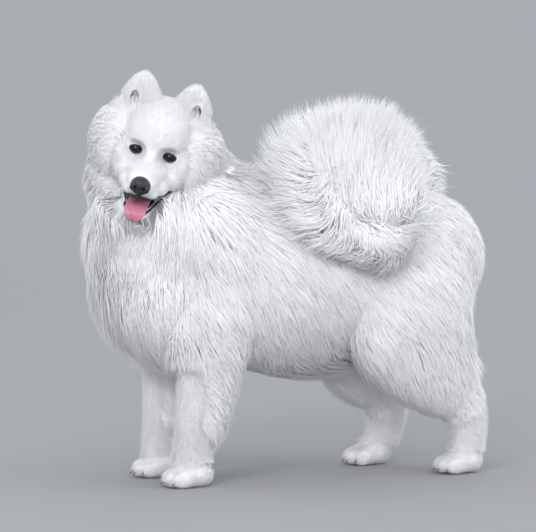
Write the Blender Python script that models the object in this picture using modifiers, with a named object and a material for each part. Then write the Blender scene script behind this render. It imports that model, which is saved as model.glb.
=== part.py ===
"""A standing Samoyed at life size, as one still model in separate solids.

Metres, +Z up. The dog faces -Y and its left side is +X. It is drawn in its own frame, with
the floor at zero and the origin under the middle of its back. The empty that carries all the
solids moves that frame, so that the box of the whole dog stands centred on the world's origin.
"""

import itertools
import math
import random
from collections import namedtuple

import bmesh
import bpy
from mathutils import Matrix, Vector
from mathutils.bvhtree import BVHTree
from mathutils.kdtree import KDTree

# Driving sizes
DOG_SHIFT = (-0.0114, -0.0235, 0.0)
GAP = 0.0003
BODY_VOXEL = 0.009
LEG_VOXEL = 0.0055
HEAD_VOXEL = 0.0038
FINE_VOXEL = 0.0016

UP = Vector((0, 0, 1))

# The head's own frame starts midway between the eyes: x to its left, y back, z up
HEAD_PLACE = Vector((0.096, -0.294, 0.6665))
HEAD_TURN = math.radians(64.4)
HEAD_NOD = math.radians(13.0)
HEAD_TILT = math.radians(15.4)
HEAD = (
    Matrix.Translation(HEAD_PLACE)
    @ Matrix.Rotation(HEAD_TURN, 4, "Z")
    @ Matrix.Rotation(HEAD_NOD, 4, "X")
    @ Matrix.Rotation(HEAD_TILT, 4, "Y")
)

EYE_APART = 0.0345
EYE_BACK = 0.0105
EYE_RADIUS = 0.0115
EYE_OPENING = (0.0105, 0.0070)
LID_THICKNESS = 0.0021
LIP_THICKNESS = 0.0036
TONGUE_WIDTH = 0.043

# A station of a limb or of the trunk: its middle, half its width and half its other measure
Station = namedtuple("Station", "x y z half_side half_deep")

# The head's masses of flesh and short fur, in its own frame: each one's middle and radii. The
# second table's are on both sides
HEAD_MASSES = (
    ((0, 0.058, 0.028), (0.076, 0.086, 0.075)),
    ((0, 0.010, 0.040), (0.050, 0.040, 0.046)),
    ((0, 0.055, -0.060), (0.062, 0.070, 0.050)),
    ((0, 0.000, -0.030), (0.040, 0.035, 0.030)),
)
HEAD_PAIRS = (
    ((0.031, 0.013, 0.020), (0.024, 0.019, 0.016)),
    ((0.042, 0.017, -0.022), (0.028, 0.024, 0.021)),
    ((0.060, 0.052, -0.022), (0.047, 0.056, 0.064)),
    ((0.021, -0.066, -0.060), (0.0175, 0.027, 0.0150)),
    ((0.036, -0.030, -0.058), (0.0160, 0.034, 0.0160)),
)
MUZZLE = (
    Station(0, 0.035, -0.040, 0.054, 0.046),
    Station(0, -0.018, -0.040, 0.041, 0.036),
    Station(0, -0.055, -0.044, 0.034, 0.030),
    Station(0, -0.082, -0.047, 0.029, 0.026),
    Station(0, -0.096, -0.049, 0.021, 0.019),
)
JAW = (
    Station(0, 0.020, -0.096, 0.040, 0.021),
    Station(0, -0.025, -0.103, 0.031, 0.018),
    Station(0, -0.060, -0.111, 0.024, 0.015),
    Station(0, -0.078, -0.115, 0.016, 0.011),
)
TONGUE = (
    Station(0, 0.000, -0.0860, 0.0190, 0.0040),
    Station(0, -0.040, -0.0890, 0.0210, 0.0042),
    Station(0, -0.075, -0.0950, TONGUE_WIDTH / 2, 0.0040),
    Station(0, -0.090, -0.1035, 0.0205, 0.0036),
    Station(0, -0.0925, -0.1140, 0.0150, 0.0030),
    Station(0, -0.0905, -0.1185, 0.0085, 0.0024),
)
UPPER_LIP = (
    (0.049, -0.008, -0.064),
    (0.042, -0.030, -0.0715),
    (0.034, -0.055, -0.0745),
    (0.022, -0.078, -0.0735),
    (0.010, -0.090, -0.070),
    (0.000, -0.093, -0.068),
)
LOWER_LIP = (
    (0.047, -0.004, -0.077),
    (0.036, -0.030, -0.0905),
    (0.026, -0.055, -0.0990),
    (0.018, -0.072, -0.1040),
    (0.009, -0.081, -0.1065),
    (0.000, -0.084, -0.1075),
)
EAR = (
    Station(0.051, 0.052, 0.055, 0.046, 0.026),
    Station(0.051, 0.048, 0.083, 0.044, 0.023),
    Station(0.052, 0.043, 0.108, 0.036, 0.0185),
    Station(0.0525, 0.039, 0.128, 0.0255, 0.0140),
    Station(0.0530, 0.036, 0.142, 0.0140, 0.0090),
    Station(0.0530, 0.035, 0.149, 0.0050, 0.0035),
)

TRUNK = (
    Station(0, -0.315, 0.420, 0.060, 0.075),
    Station(0, -0.275, 0.420, 0.105, 0.130),
    Station(0, -0.195, 0.420, 0.132, 0.163),
    Station(0, -0.090, 0.420, 0.141, 0.162),
    Station(0, 0.040, 0.425, 0.139, 0.157),
    Station(0, 0.160, 0.437, 0.137, 0.145),
    Station(0, 0.260, 0.440, 0.138, 0.138),
    Station(0, 0.340, 0.430, 0.122, 0.126),
    Station(0, 0.394, 0.410, 0.078, 0.088),
)
NECK = (
    Station(0.000, -0.120, 0.430, 0.122, 0.128),
    Station(-0.002, -0.187, 0.505, 0.118, 0.124),
    Station(-0.010, -0.218, 0.570, 0.106, 0.108),
    Station(-0.018, -0.232, 0.630, 0.092, 0.092),
    Station(-0.018, -0.238, 0.685, 0.066, 0.066),
)
# The neck and the trunk part at this plane
COLLAR_POINT = Vector((0.0, -0.205, 0.545))
COLLAR_WAY = Vector((0.0, -0.42, 0.91)).normalized()

# The tail's curl lies round a hub: the angle there from straight back, turning up and over, how
# far to the left and how far from the hub the tail's middle is, half its width and half its
# depth, and how far from the hub the tips of its plume are
CURL_HUB = Vector((0.0, 0.175, 0.570))
Turn = namedtuple("Turn", "angle x radius half_side half_deep reach")
CURL = (
    Turn(-10, 0.000, 0.149, 0.036, 0.034, 0.196),
    Turn(14, 0.000, 0.146, 0.040, 0.042, 0.222),
    Turn(44, 0.006, 0.126, 0.044, 0.046, 0.206),
    Turn(87, 0.020, 0.098, 0.046, 0.048, 0.226),
    Turn(136, 0.056, 0.116, 0.046, 0.048, 0.230),
    Turn(166, 0.112, 0.131, 0.042, 0.046, 0.236),
    Turn(197, 0.168, 0.118, 0.034, 0.040, 0.186),
    Turn(230, 0.190, 0.100, 0.028, 0.034, 0.166),
    Turn(262, 0.190, 0.082, 0.024, 0.028, 0.164),
    Turn(290, 0.184, 0.068, 0.018, 0.022, 0.138),
)
TAIL_HEART = Vector((0.038, 0.175, 0.612))
TAIL_HEART_RADII = (0.042, 0.105, 0.060)

SHOULDER = Station(0.084, -0.165, 0.440, 0.058, 0.085)
FORELEG = (
    Station(0.094, -0.158, 0.390, 0.055, 0.078),
    Station(0.100, -0.170, 0.335, 0.052, 0.072),
    Station(0.099, -0.180, 0.280, 0.047, 0.063),
    Station(0.093, -0.190, 0.210, 0.041, 0.056),
    Station(0.086, -0.199, 0.140, 0.036, 0.048),
    Station(0.081, -0.205, 0.085, 0.033, 0.043),
    Station(0.080, -0.214, 0.040, 0.032, 0.038),
)
LEFT_HINDLEG = (
    Station(0.085, 0.248, 0.440, 0.066, 0.118),
    Station(0.098, 0.256, 0.360, 0.066, 0.124),
    Station(0.103, 0.274, 0.285, 0.057, 0.108),
    Station(0.099, 0.330, 0.212, 0.043, 0.074),
    Station(0.096, 0.386, 0.158, 0.034, 0.049),
    Station(0.095, 0.402, 0.110, 0.031, 0.041),
    Station(0.095, 0.400, 0.045, 0.031, 0.040),
)
RIGHT_HINDLEG = (
    Station(-0.085, 0.240, 0.440, 0.066, 0.118),
    Station(-0.098, 0.236, 0.360, 0.066, 0.120),
    Station(-0.103, 0.230, 0.285, 0.057, 0.104),
    Station(-0.099, 0.254, 0.212, 0.043, 0.076),
    Station(-0.096, 0.295, 0.158, 0.034, 0.049),
    Station(-0.095, 0.303, 0.110, 0.031, 0.041),
    Station(-0.095, 0.288, 0.045, 0.031, 0.040),
)
RIGHT_FORE_BACK = -0.014
# Above these levels the legs' upper parts belong to the torso
ELBOW_LEVEL = 0.300
STIFLE_LEVEL = 0.310
# Each hind leg is parted here into thigh and hind foot
HOCK_LEVEL = 0.190

# The feathering is on the legs' backs: it starts this far back on each foreleg and thigh
FEATHER_STARTS = (-0.178, -0.190, 0.300, 0.260)

# Each paw's middle on the floor
PAWS = {
    "foreleg_left": Vector((0.080, -0.212, 0.0)),
    "foreleg_right": Vector((-0.080, -0.226, 0.0)),
    "hindfoot_left": Vector((0.095, 0.384, 0.0)),
    "hindfoot_right": Vector((-0.095, 0.258, 0.0)),
}
TOE_RADII = (0.0125, 0.025, 0.018)
TOES = ((-0.030, 0.004), (-0.0105, -0.008), (0.0105, -0.008), (0.030, 0.004))
CLAW_LENGTH = 0.012
CLAW_WIDTH = 0.007

# The coat's core, under the locks, reaches this share of the way to the tips
SHELL_BOX = 0.024  # a box is cut round shared scraps up to this size
CORE_SHARE = 0.42
# A style of lock: its length, greatest width, thickness, how far its root is sunk, the
# spacing of the roots, the number of its bends, and the curve of the body across it
Style = namedtuple("Style", "length width thickness sink spacing bends roundness")
TORSO_LOCK = Style(0.162, 0.104, 0.012, 0.007, 0.093, 3, 0.40)
RUFF_LOCK = Style(0.155, 0.084, 0.013, 0.007, 0.070, 3, 0.34)
CHEEK_LOCK = Style(0.092, 0.056, 0.009, 0.006, 0.047, 3, 0.16)
LEG_LOCK = Style(0.090, 0.056, 0.010, 0.006, 0.066, 2, 0.14)
TAIL_LOCK = Style(0.000, 0.098, 0.011, 0.020, 0.000, 3, 0.40)
# A lock that would cross another part is tried again at these shares of its length
SHORTER = (1.0, 0.85, 0.7, 0.55)
PLUME_FANS = 11
PLUME_LAYERS = (-0.9, 0.1, 0.95)

def from_head(spot):
    return tuple(HEAD @ Vector(spot))


def way_from_head(way):
    return tuple(HEAD.to_3x3() @ Vector(way))


# The lie of the coat: a place, and the way that the hair there points
LIE = (
    ((0.00, -0.33, 0.56), (0.00, -0.30, -1.0)),
    ((0.00, -0.34, 0.40), (0.00, 0.10, -1.0)),
    ((0.12, -0.27, 0.58), (0.25, 0.10, -1.0)),
    ((-0.12, -0.27, 0.58), (-0.25, 0.10, -1.0)),
    ((0.00, -0.14, 0.68), (0.00, 0.75, -0.60)),
    ((0.08, -0.15, 0.62), (0.15, 0.70, -0.75)),
    ((0.00, -0.10, 0.60), (0.00, 0.95, -0.25)),
    ((0.14, -0.18, 0.44), (0.00, 0.45, -0.90)),
    ((-0.14, -0.18, 0.44), (0.00, 0.45, -0.90)),
    ((0.00, -0.05, 0.60), (0.00, 1.00, -0.05)),
    ((0.00, 0.15, 0.59), (0.00, 1.00, 0.00)),
    ((0.15, 0.00, 0.44), (0.00, 0.60, -0.80)),
    ((-0.15, 0.00, 0.44), (0.00, 0.60, -0.80)),
    ((0.12, 0.02, 0.30), (0.00, 0.45, -0.90)),
    ((-0.12, 0.02, 0.30), (0.00, 0.45, -0.90)),
    ((0.00, 0.02, 0.26), (0.00, 0.80, -0.60)),
    ((0.00, 0.38, 0.50), (0.00, 0.40, -0.90)),
    ((0.15, 0.25, 0.42), (0.00, 0.60, -0.80)),
    ((-0.15, 0.25, 0.42), (0.00, 0.60, -0.80)),
    ((0.12, 0.36, 0.32), (0.00, 0.30, -0.95)),
    ((-0.12, 0.30, 0.32), (0.00, 0.30, -0.95)),
    ((0.10, -0.18, 0.15), (0.00, 0.55, -0.85)),
    ((-0.10, -0.18, 0.15), (0.00, 0.55, -0.85)),
    (from_head((0.100, 0.050, -0.010)), way_from_head((0.40, 0.70, -0.60))),
    (from_head((-0.100, 0.050, -0.010)), way_from_head((-0.40, 0.70, -0.60))),
    (from_head((0.080, 0.050, -0.080)), way_from_head((0.25, 0.35, -0.90))),
    (from_head((-0.080, 0.050, -0.080)), way_from_head((-0.25, 0.35, -0.90))),
    (from_head((0.000, 0.140, 0.060)), way_from_head((0.00, 0.70, -0.60))),
    (from_head((0.070, 0.110, 0.050)), way_from_head((0.50, 0.70, -0.45))),
    (from_head((-0.070, 0.110, 0.050)), way_from_head((-0.50, 0.70, -0.45))),
)
# How far the tips stand beyond the flesh: a place, and the depth there
DEPTH = (
    ((0.00, -0.33, 0.58), 0.104),
    ((0.13, -0.25, 0.58), 0.085),
    ((-0.13, -0.25, 0.58), 0.095),
    ((0.00, -0.14, 0.69), 0.095),
    ((0.06, -0.14, 0.64), 0.095),
    ((0.00, -0.34, 0.42), 0.104),
    ((0.00, -0.26, 0.30), 0.060),
    ((0.14, -0.18, 0.42), 0.046),
    ((-0.14, -0.18, 0.42), 0.046),
    ((0.00, 0.05, 0.59), 0.036),
    ((0.15, 0.05, 0.43), 0.044),
    ((-0.15, 0.05, 0.43), 0.044),
    ((0.00, 0.02, 0.26), 0.092),
    ((0.15, 0.28, 0.42), 0.042),
    ((-0.15, 0.28, 0.42), 0.042),
    ((0.00, 0.40, 0.42), 0.052),
    ((0.10, 0.37, 0.30), 0.048),
    ((-0.10, 0.33, 0.30), 0.048),
    ((0.10, 0.42, 0.20), 0.020),
    ((-0.10, 0.33, 0.20), 0.020),
    ((0.10, -0.14, 0.20), 0.036),
    ((-0.10, -0.16, 0.20), 0.036),
    ((0.10, -0.24, 0.20), 0.012),
    ((-0.10, -0.26, 0.20), 0.012),
    (from_head((0.100, 0.050, -0.010)), 0.070),
    (from_head((-0.100, 0.050, -0.010)), 0.074),
    (from_head((0.080, 0.080, -0.080)), 0.060),
    (from_head((-0.080, 0.080, -0.080)), 0.060),
    (from_head((0.070, 0.120, 0.050)), 0.080),
    (from_head((-0.070, 0.120, 0.050)), 0.060),
    (from_head((0.000, 0.020, 0.060)), 0.008),
)


def clear_scene():
    for old in list(bpy.data.objects):
        bpy.data.objects.remove(old)


def finish_of(name, colour, roughness):
    """A plain finish of one colour."""
    finish = bpy.data.materials.new(name)
    finish.use_nodes = True
    shader = finish.node_tree.nodes["Principled BSDF"]
    shader.inputs["Base Color"].default_value = (*colour, 1.0)
    shader.inputs["Roughness"].default_value = roughness
    shader.inputs["Metallic"].default_value = 0.0
    return finish


def object_of(name, mesh):
    made = bpy.data.objects.new(name, mesh)
    bpy.context.scene.collection.objects.link(made)
    return made


def object_from(name, shape):
    """Turns a closed bmesh into an object, with its faces pointing out."""
    mesh = bpy.data.meshes.new(name)
    bmesh.ops.recalc_face_normals(shape, faces=shape.faces)
    shape.to_mesh(mesh)
    shape.free()
    return object_of(name, mesh)


def mass(place, radii, turn=(0.0, 0.0, 0.0), across=20):
    """A ball stretched to three radii, turned about x, then y, then z, and set at its place."""
    shape = bmesh.new()
    bmesh.ops.create_uvsphere(shape, u_segments=across, v_segments=across // 2, radius=1.0)
    matrix = Matrix.Translation(place)
    for angle, axis in zip(reversed(turn), "ZYX"):
        matrix = matrix @ Matrix.Rotation(math.radians(angle), 4, axis)
    matrix = matrix @ Matrix.Diagonal((*radii, 1.0))
    bmesh.ops.transform(shape, matrix=matrix, verts=shape.verts)
    return object_from("mass", shape)


def pair(place, radii, turn=(0.0, 0.0, 0.0), across=20):
    """The same ball on both sides of the middle plane."""
    x, y, z = place
    left = mass(place, radii, turn, across)
    right = mass((-x, y, z), radii, (turn[0], -turn[1], -turn[2]), across)
    return [left, right]


def between(stations, t):
    """The station or turn at t along the list, from 0 to its last index, on a smooth curve."""
    i = min(int(t), len(stations) - 2)
    u = t - i
    a = stations[max(i - 1, 0)]
    b = stations[i]
    c = stations[i + 1]
    d = stations[min(i + 2, len(stations) - 1)]
    return type(b)(*(
        0.5 * (2 * q + (r - p) * u + (2 * p - 5 * q + 4 * r - s) * u * u
               + (3 * q - p - 3 * r + s) * u ** 3)
        for p, q, r, s in zip(a, b, c, d)
    ))


def limb(stations, side=Vector((1, 0, 0)), rings_each=4, sides=20):
    """A tube of changing oval section through its stations, with flat ends."""
    count = (len(stations) - 1) * rings_each
    rows = [between(stations, i / rings_each) for i in range(count + 1)]
    places = [Vector((row.x, row.y, row.z)) for row in rows]
    shape = bmesh.new()
    rings = []
    for i, row in enumerate(rows):
        along = (places[min(i + 1, count)] - places[max(i - 1, 0)]).normalized()
        across = (side - along * side.dot(along)).normalized()
        deep = along.cross(across)
        ring = []
        for k in range(sides):
            turn = math.tau * k / sides
            ring.append(shape.verts.new(
                places[i] + across * (row.half_side * math.cos(turn))
                + deep * (row.half_deep * math.sin(turn))
            ))
        rings.append(ring)
    for low, high in zip(rings, rings[1:]):
        for k in range(sides):
            shape.faces.new((low[k], low[(k + 1) % sides], high[(k + 1) % sides], high[k]))
    shape.faces.new(rings[0])
    shape.faces.new(rings[-1])
    return object_from("limb", shape)


def cord(points, radius, cyclic=False):
    """A thin round tube through its points, for a lid or a lip, as a closed mesh."""
    curve = bpy.data.curves.new("cord", "CURVE")
    curve.dimensions = "3D"
    curve.bevel_depth = radius
    curve.bevel_resolution = 0
    curve.use_fill_caps = not cyclic
    spline = curve.splines.new("POLY")
    spline.points.add(len(points) - 1)
    for point, place in zip(spline.points, points):
        point.co = (*place, 1.0)
    spline.use_cyclic_u = cyclic
    drawn = object_of("cord", curve)
    graph = bpy.context.evaluated_depsgraph_get()
    mesh = bpy.data.meshes.new_from_object(drawn.evaluated_get(graph))
    bpy.data.objects.remove(drawn)
    shape = bmesh.new()
    shape.from_mesh(mesh)
    bmesh.ops.remove_doubles(shape, verts=shape.verts, dist=0.00001)
    bmesh.ops.triangulate(shape, faces=shape.faces)
    return object_from("cord", shape)


def moved(stations, back):
    return tuple(s._replace(y=s.y + back) for s in stations)


def mirrored(stations):
    return tuple(s._replace(x=-s.x) for s in stations)


def applied(thing):
    """Gives the object the mesh that its modifiers make."""
    graph = bpy.context.evaluated_depsgraph_get()
    mesh = bpy.data.meshes.new_from_object(thing.evaluated_get(graph))
    thing.modifiers.clear()
    thing.data = mesh
    return thing


def triangles_of(thing):
    return sum(len(face.vertices) - 2 for face in thing.data.polygons)


def joined(name, pieces):
    """One object that holds every piece's faces, still as separate shells."""
    shape = bmesh.new()
    for piece in pieces:
        shape.from_mesh(piece.data)
        bpy.data.objects.remove(piece)
    mesh = bpy.data.meshes.new(name)
    shape.to_mesh(mesh)
    shape.free()
    return object_of(name, mesh)


def moulded(name, pieces, voxel, smooth, triangles):
    """Melts overlapping shells into one soft skin of about that many triangles."""
    body = joined(name, pieces)
    melt = body.modifiers.new("melt", "REMESH")
    melt.mode = "VOXEL"
    melt.voxel_size = voxel
    soften = body.modifiers.new("soften", "SMOOTH")
    soften.factor = 0.5
    soften.iterations = smooth
    applied(body)
    thin = body.modifiers.new("thin", "DECIMATE")
    thin.ratio = min(1.0, triangles / triangles_of(body))
    thin.use_collapse_triangulate = True
    applied(body)
    return keep_largest(body)


def eased(shape):
    """Collapses the shortest edges, and moves corners that touch without an edge between them
    a little inward, so that the surface never touches itself."""
    bmesh.ops.dissolve_degenerate(shape, dist=0.000004, edges=shape.edges)
    bmesh.ops.triangulate(shape, faces=shape.faces)
    shape.normal_update()
    shape.verts.index_update()
    corners = KDTree(len(shape.verts))
    for vert in shape.verts:
        corners.insert(vert.co, vert.index)
    corners.balance()
    shape.verts.ensure_lookup_table()
    touching = [
        vert for vert in shape.verts
        if len(corners.find_range(vert.co, 0.000004)) > 1
    ]
    for vert in touching:
        vert.co -= vert.normal * 0.00002


def keep_largest(thing):
    """Leaves only the closed surface that encloses the most."""
    shape = bmesh.new()
    shape.from_mesh(thing.data)
    bmesh.ops.triangulate(shape, faces=shape.faces)
    eased(shape)
    seen = set()
    groups = []
    for start in shape.faces:
        if start in seen:
            continue
        seen.add(start)
        group = [start]
        for face in group:
            for edge in face.edges:
                for other in edge.link_faces:
                    if other not in seen and len(edge.link_faces) == 2:
                        seen.add(other)
                        group.append(other)
        volume = sum(f.verts[0].co.dot(f.verts[1].co.cross(f.verts[2].co)) for f in group)
        groups.append((volume, group))
    groups.sort(key=lambda pair_of: pair_of[0])
    loose = [face for _, group in groups[:-1] for face in group]
    bmesh.ops.delete(shape, geom=loose, context="FACES")
    shape.to_mesh(thing.data)
    shape.free()
    return thing


def fuse(core, pieces):
    """Joins the pieces to the core as one closed body."""
    group = bpy.data.collections.new("pieces of " + core.name)
    bpy.context.scene.collection.children.link(group)
    for piece in pieces:
        group.objects.link(piece)
    union = core.modifiers.new("fuse", "BOOLEAN")
    union.operation = "UNION"
    union.operand_type = "COLLECTION"
    union.collection = group
    union.solver = "MANIFOLD"
    applied(core)
    for piece in list(group.objects):
        bpy.data.objects.remove(piece)
    bpy.data.collections.remove(group)
    return keep_largest(core)


def cut(thing, cutter):
    """Takes the cutter's space out of the object, and removes the cutter."""
    carve = thing.modifiers.new("carve", "BOOLEAN")
    carve.operation = "DIFFERENCE"
    carve.object = cutter
    carve.solver = "MANIFOLD"
    applied(thing)
    bpy.data.objects.remove(cutter)
    return keep_largest(thing)


def swollen(thing, by=GAP):
    """A copy of the object, a little larger all round."""
    copy = object_of("swollen " + thing.name, thing.data.copy())
    swell = copy.modifiers.new("swell", "DISPLACE")
    swell.strength = by
    swell.mid_level = 0.0
    return applied(copy)


def shared_by(thing, other):
    """The closed pieces of space that two objects both fill, each as a shape of its own."""
    both = object_of("shared", thing.data.copy())
    meet = both.modifiers.new("meet", "BOOLEAN")
    meet.operation = "INTERSECT"
    meet.object = other
    meet.solver = "MANIFOLD"
    applied(both)
    shape = bmesh.new()
    shape.from_mesh(both.data)
    bpy.data.objects.remove(both)
    pieces = []
    seen = set()
    for start in shape.verts:
        if start in seen:
            continue
        seen.add(start)
        group = [start]
        for vert in group:
            for edge in vert.link_edges:
                end = edge.other_vert(vert)
                if end not in seen:
                    seen.add(end)
                    group.append(end)
        pieces.append([vert.co.copy() for vert in group])
    shape.free()
    return pieces


def shell_round(corners, room):
    """A closed shell with no hollows, a little way outside all of the corners: a box round a
    small set of them, and a closer shell round a wide one."""
    shape = bmesh.new()
    low = Vector([min(corner[k] for corner in corners) - room for k in range(3)])
    high = Vector([max(corner[k] for corner in corners) + room for k in range(3)])
    if (high - low).length < SHELL_BOX:
        spots = itertools.product(*zip(low, high))
    else:
        ways = itertools.product((-room, room), repeat=3)
        spots = [corner + Vector(way) for way in ways for corner in corners]
    for spot in spots:
        shape.verts.new(spot)
    hull = bmesh.ops.convex_hull(shape, input=shape.verts)
    inside = [v for v in hull["geom_interior"] if isinstance(v, bmesh.types.BMVert)]
    bmesh.ops.delete(shape, geom=list(set(inside)), context="VERTS")
    loose = [vert for vert in shape.verts if not vert.link_faces]
    bmesh.ops.delete(shape, geom=loose, context="VERTS")
    bmesh.ops.triangulate(shape, faces=shape.faces)
    return object_from("shell", shape)


def space_of(core, pieces):
    """Keeps the space that a body and its locks take up, each a little larger all round."""
    room = bpy.data.collections.new("space of " + core.name)
    bpy.context.scene.collection.children.link(room)
    for piece in [core] + pieces:
        taken = swollen(piece)
        for home in list(taken.users_collection):
            home.objects.unlink(taken)
        room.objects.link(taken)


def clear_of(thing, *others):
    """Cuts the object back from each of the others, with a gap between. What they still share
    after that is cut away as whole small pieces."""
    for other in others:
        room = bpy.data.collections.get("space of " + other.name)
        if room is None:
            cut(thing, swollen(other))
        else:
            carve = thing.modifiers.new("carve", "BOOLEAN")
            carve.operation = "DIFFERENCE"
            carve.operand_type = "COLLECTION"
            carve.collection = room
            carve.solver = "MANIFOLD"
            keep_largest(applied(thing))
        for _ in range(3):
            for corners in shared_by(thing, other):
                if len(corners) > 3:
                    cut(thing, shell_round(corners, GAP))
    return thing


def sliced(thing, point, way):
    """Keeps what lies behind a plane, and closes the cut with a flat face."""
    shape = bmesh.new()
    shape.from_mesh(thing.data)
    bmesh.ops.bisect_plane(
        shape, geom=shape.verts[:] + shape.edges[:] + shape.faces[:],
        plane_co=point, plane_no=way, clear_outer=True,
    )
    rim = [edge for edge in shape.edges if edge.is_boundary]
    bmesh.ops.contextual_create(shape, geom=rim)
    bmesh.ops.triangulate(shape, faces=shape.faces)
    shape.to_mesh(thing.data)
    shape.free()
    return keep_largest(thing)


def weighed(table, place, reach=0.0009):
    """The table's value at a place, where the nearer entries count the more."""
    total = None
    weights = 0.0
    for where, value in table:
        weight = 1.0 / ((place - Vector(where)).length_squared + reach) ** 2
        part = Vector(value) * weight if isinstance(value, tuple) else value * weight
        total = part if total is None else total + part
        weights += weight
    return total / weights


def lie_at(place):
    return weighed(LIE, place).normalized()


def depth_at(place):
    return weighed(DEPTH, place)


def tree_of(*things):
    """What finds the nearest place on the surface of all the things."""
    corners = []
    faces = []
    for thing in things:
        first = len(corners)
        corners += [v.co.copy() for v in thing.data.vertices]
        faces += [[first + i for i in p.vertices] for p in thing.data.polygons]
    return BVHTree.FromPolygons(corners, faces)


def strip(rows):
    """A closed flat tapered body: each row is its middle, its way across, the way out of the
    coat, half its width, its thickness and how far its edges droop. The last row is the tip."""
    shape = bmesh.new()
    rings = []
    for centre, across, out, half, thick, droop in rows[:-1]:
        rings.append([
            shape.verts.new(centre + across * half - out * droop),
            shape.verts.new(centre + out * thick),
            shape.verts.new(centre - across * half - out * droop),
        ])
    tip = shape.verts.new(rows[-1][0])
    for low, high in zip(rings, rings[1:]):
        for k in range(3):
            shape.faces.new((low[k], low[(k + 1) % 3], high[(k + 1) % 3], high[k]))
    for k in range(3):
        shape.faces.new((rings[-1][k], rings[-1][(k + 1) % 3], tip))
    shape.faces.new(rings[0])
    bmesh.ops.triangulate(shape, faces=shape.faces)
    return object_from("lock", shape)


def taper(style, t):
    """Half the width and the thickness of a lock at t, from its root to its tip."""
    half = 0.5 * style.width * min(1.0, 0.62 + 1.3 * t) * (1.0 - t * t) ** 0.7
    return half, style.thickness * (1.0 - 0.6 * t)


def lock(tree, root, style, vary):
    """A lock that lies on the body: it starts inside the core, follows the core's surface
    along the lie of the coat, and rises till its tip is as far out as the coat is deep."""
    place, normal, _, _ = tree.find_nearest(root)
    rows = []
    step = style.length / style.bends
    for i in range(style.bends + 1):
        t = i / style.bends
        way = lie_at(place)
        along = (way - normal * way.dot(normal)).normalized()
        stand = (1.0 - CORE_SHARE) * depth_at(place) * vary
        centre = place + normal * (-style.sink + (stand + style.sink) * t ** 0.55)
        half, thick = taper(style, t)
        droop = half * half / style.roundness
        rows.append((centre, along.cross(normal), normal, half, thick, droop))
        place, normal, _, _ = tree.find_nearest(place + along * step)
    return strip(rows)


def plume_lock(root, tip, face, style, sweep):
    """A lock that stands away from the tail: it runs from its root to its tip with a sweep to
    one side, and shows its flat to the way it faces."""
    rows = []
    whole = tip - root
    for i in range(style.bends + 1):
        t = i / style.bends
        heading = (whole + sweep * (math.pi * math.cos(math.pi * t))).normalized()
        centre = root - whole.normalized() * (style.sink * (1 - t)) + whole * t
        centre = centre + sweep * math.sin(math.pi * t)
        across = face.cross(heading).normalized()
        out = heading.cross(across)
        if out.dot(face) < 0:
            out = -out
        half, thick = taper(style, t)
        rows.append((centre, across, out, half, thick, half * half / style.roundness))
    return strip(rows)


def scattered(thing, spacing, grows_at, draw, tries=1800):
    """Root places spread evenly over a surface: each new one is as far from the others as it
    can be, until no free place is farther from them than the spacing."""
    thing.data.calc_loop_triangles()
    corners = [v.co.copy() for v in thing.data.vertices]
    faces = [[corners[i] for i in t.vertices] for t in thing.data.loop_triangles]
    areas = [(b - a).cross(c - a).length for a, b, c in faces]
    free = []
    for a, b, c in draw.choices(faces, areas, k=tries):
        u = draw.random()
        v = draw.random()
        if u + v > 1:
            u, v = 1 - u, 1 - v
        place = a + (b - a) * u + (c - a) * v
        if grows_at(place):
            free.append(place)
    chosen = []
    far = [1.0] * len(free)
    while free and max(far) > spacing:
        place = free[far.index(max(far))]
        chosen.append(place)
        far = [min(known, (place - other).length) for known, other in zip(far, free)]
    return chosen


def with_locks(core, tree, style, grows_at, seed, others):
    """Covers a core with locks of one style, and makes them one body with it. A lock that
    would cross one of the others is drawn shorter, or left out if that doesn't clear it."""
    draw = random.Random(seed)
    around = tree_of(*others) if others else None
    locks = []
    for root in scattered(core, style.spacing, grows_at, draw):
        size = draw.uniform(0.90, 1.12)
        stand = draw.uniform(0.86, 1.10)
        for share in SHORTER:
            one = style._replace(
                length=style.length * size * share, width=style.width * size * share ** 0.5,
            )
            made = lock(tree, root, one, stand * share)
            if around is None or not tree_of(made).overlap(around):
                locks.append(made)
                break
            bpy.data.objects.remove(made)
    space_of(core, locks)
    return fuse(core, locks) if locks else core


def with_plume(tail, seed):
    """The tail's plume: fans of locks round the curl, which point away from its hub, in layers
    from the far side to the near one."""
    draw = random.Random(seed)
    locks = []
    for i in range(PLUME_FANS):
        for layer in PLUME_LAYERS:
            t = (i + 0.5 + 0.33 * layer) / PLUME_FANS * (len(CURL) - 1)
            turn = between(CURL, t)
            angle = math.radians(turn.angle + draw.uniform(-4, 4))
            way = Vector((0, math.cos(angle), math.sin(angle)))
            round_the_hub = Vector((0, -math.sin(angle), math.cos(angle)))
            side = Vector((layer * turn.half_side, 0, 0))
            middle = CURL_HUB + Vector((turn.x, 0, 0)) + way * turn.radius
            start = turn.half_deep * (0.55 - 0.9 * abs(layer))
            reach = (turn.reach - turn.radius) * draw.uniform(0.90, 1.04)
            one = TAIL_LOCK._replace(width=TAIL_LOCK.width * draw.uniform(0.88, 1.1))
            face = Vector((0.2 + layer, 0, 0)) + way * 0.35
            locks.append(plume_lock(
                middle + side + way * start,
                middle + side * 1.5 + way * reach,
                face.normalized(), one, round_the_hub * draw.uniform(0.004, 0.012),
            ))
    space_of(tail, locks)
    return fuse(tail, locks)


def grown(core, depth):
    """Pushes a body's surface out by a depth that changes from place to place."""
    shape = bmesh.new()
    shape.from_mesh(core.data)
    shape.normal_update()
    moves = [v.normal * depth(v.co) for v in shape.verts]
    for vert, move in zip(shape.verts, moves):
        vert.co += move
    bmesh.ops.smooth_vert(shape, verts=shape.verts, factor=0.4)
    shape.to_mesh(core.data)
    shape.free()
    return core


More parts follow.
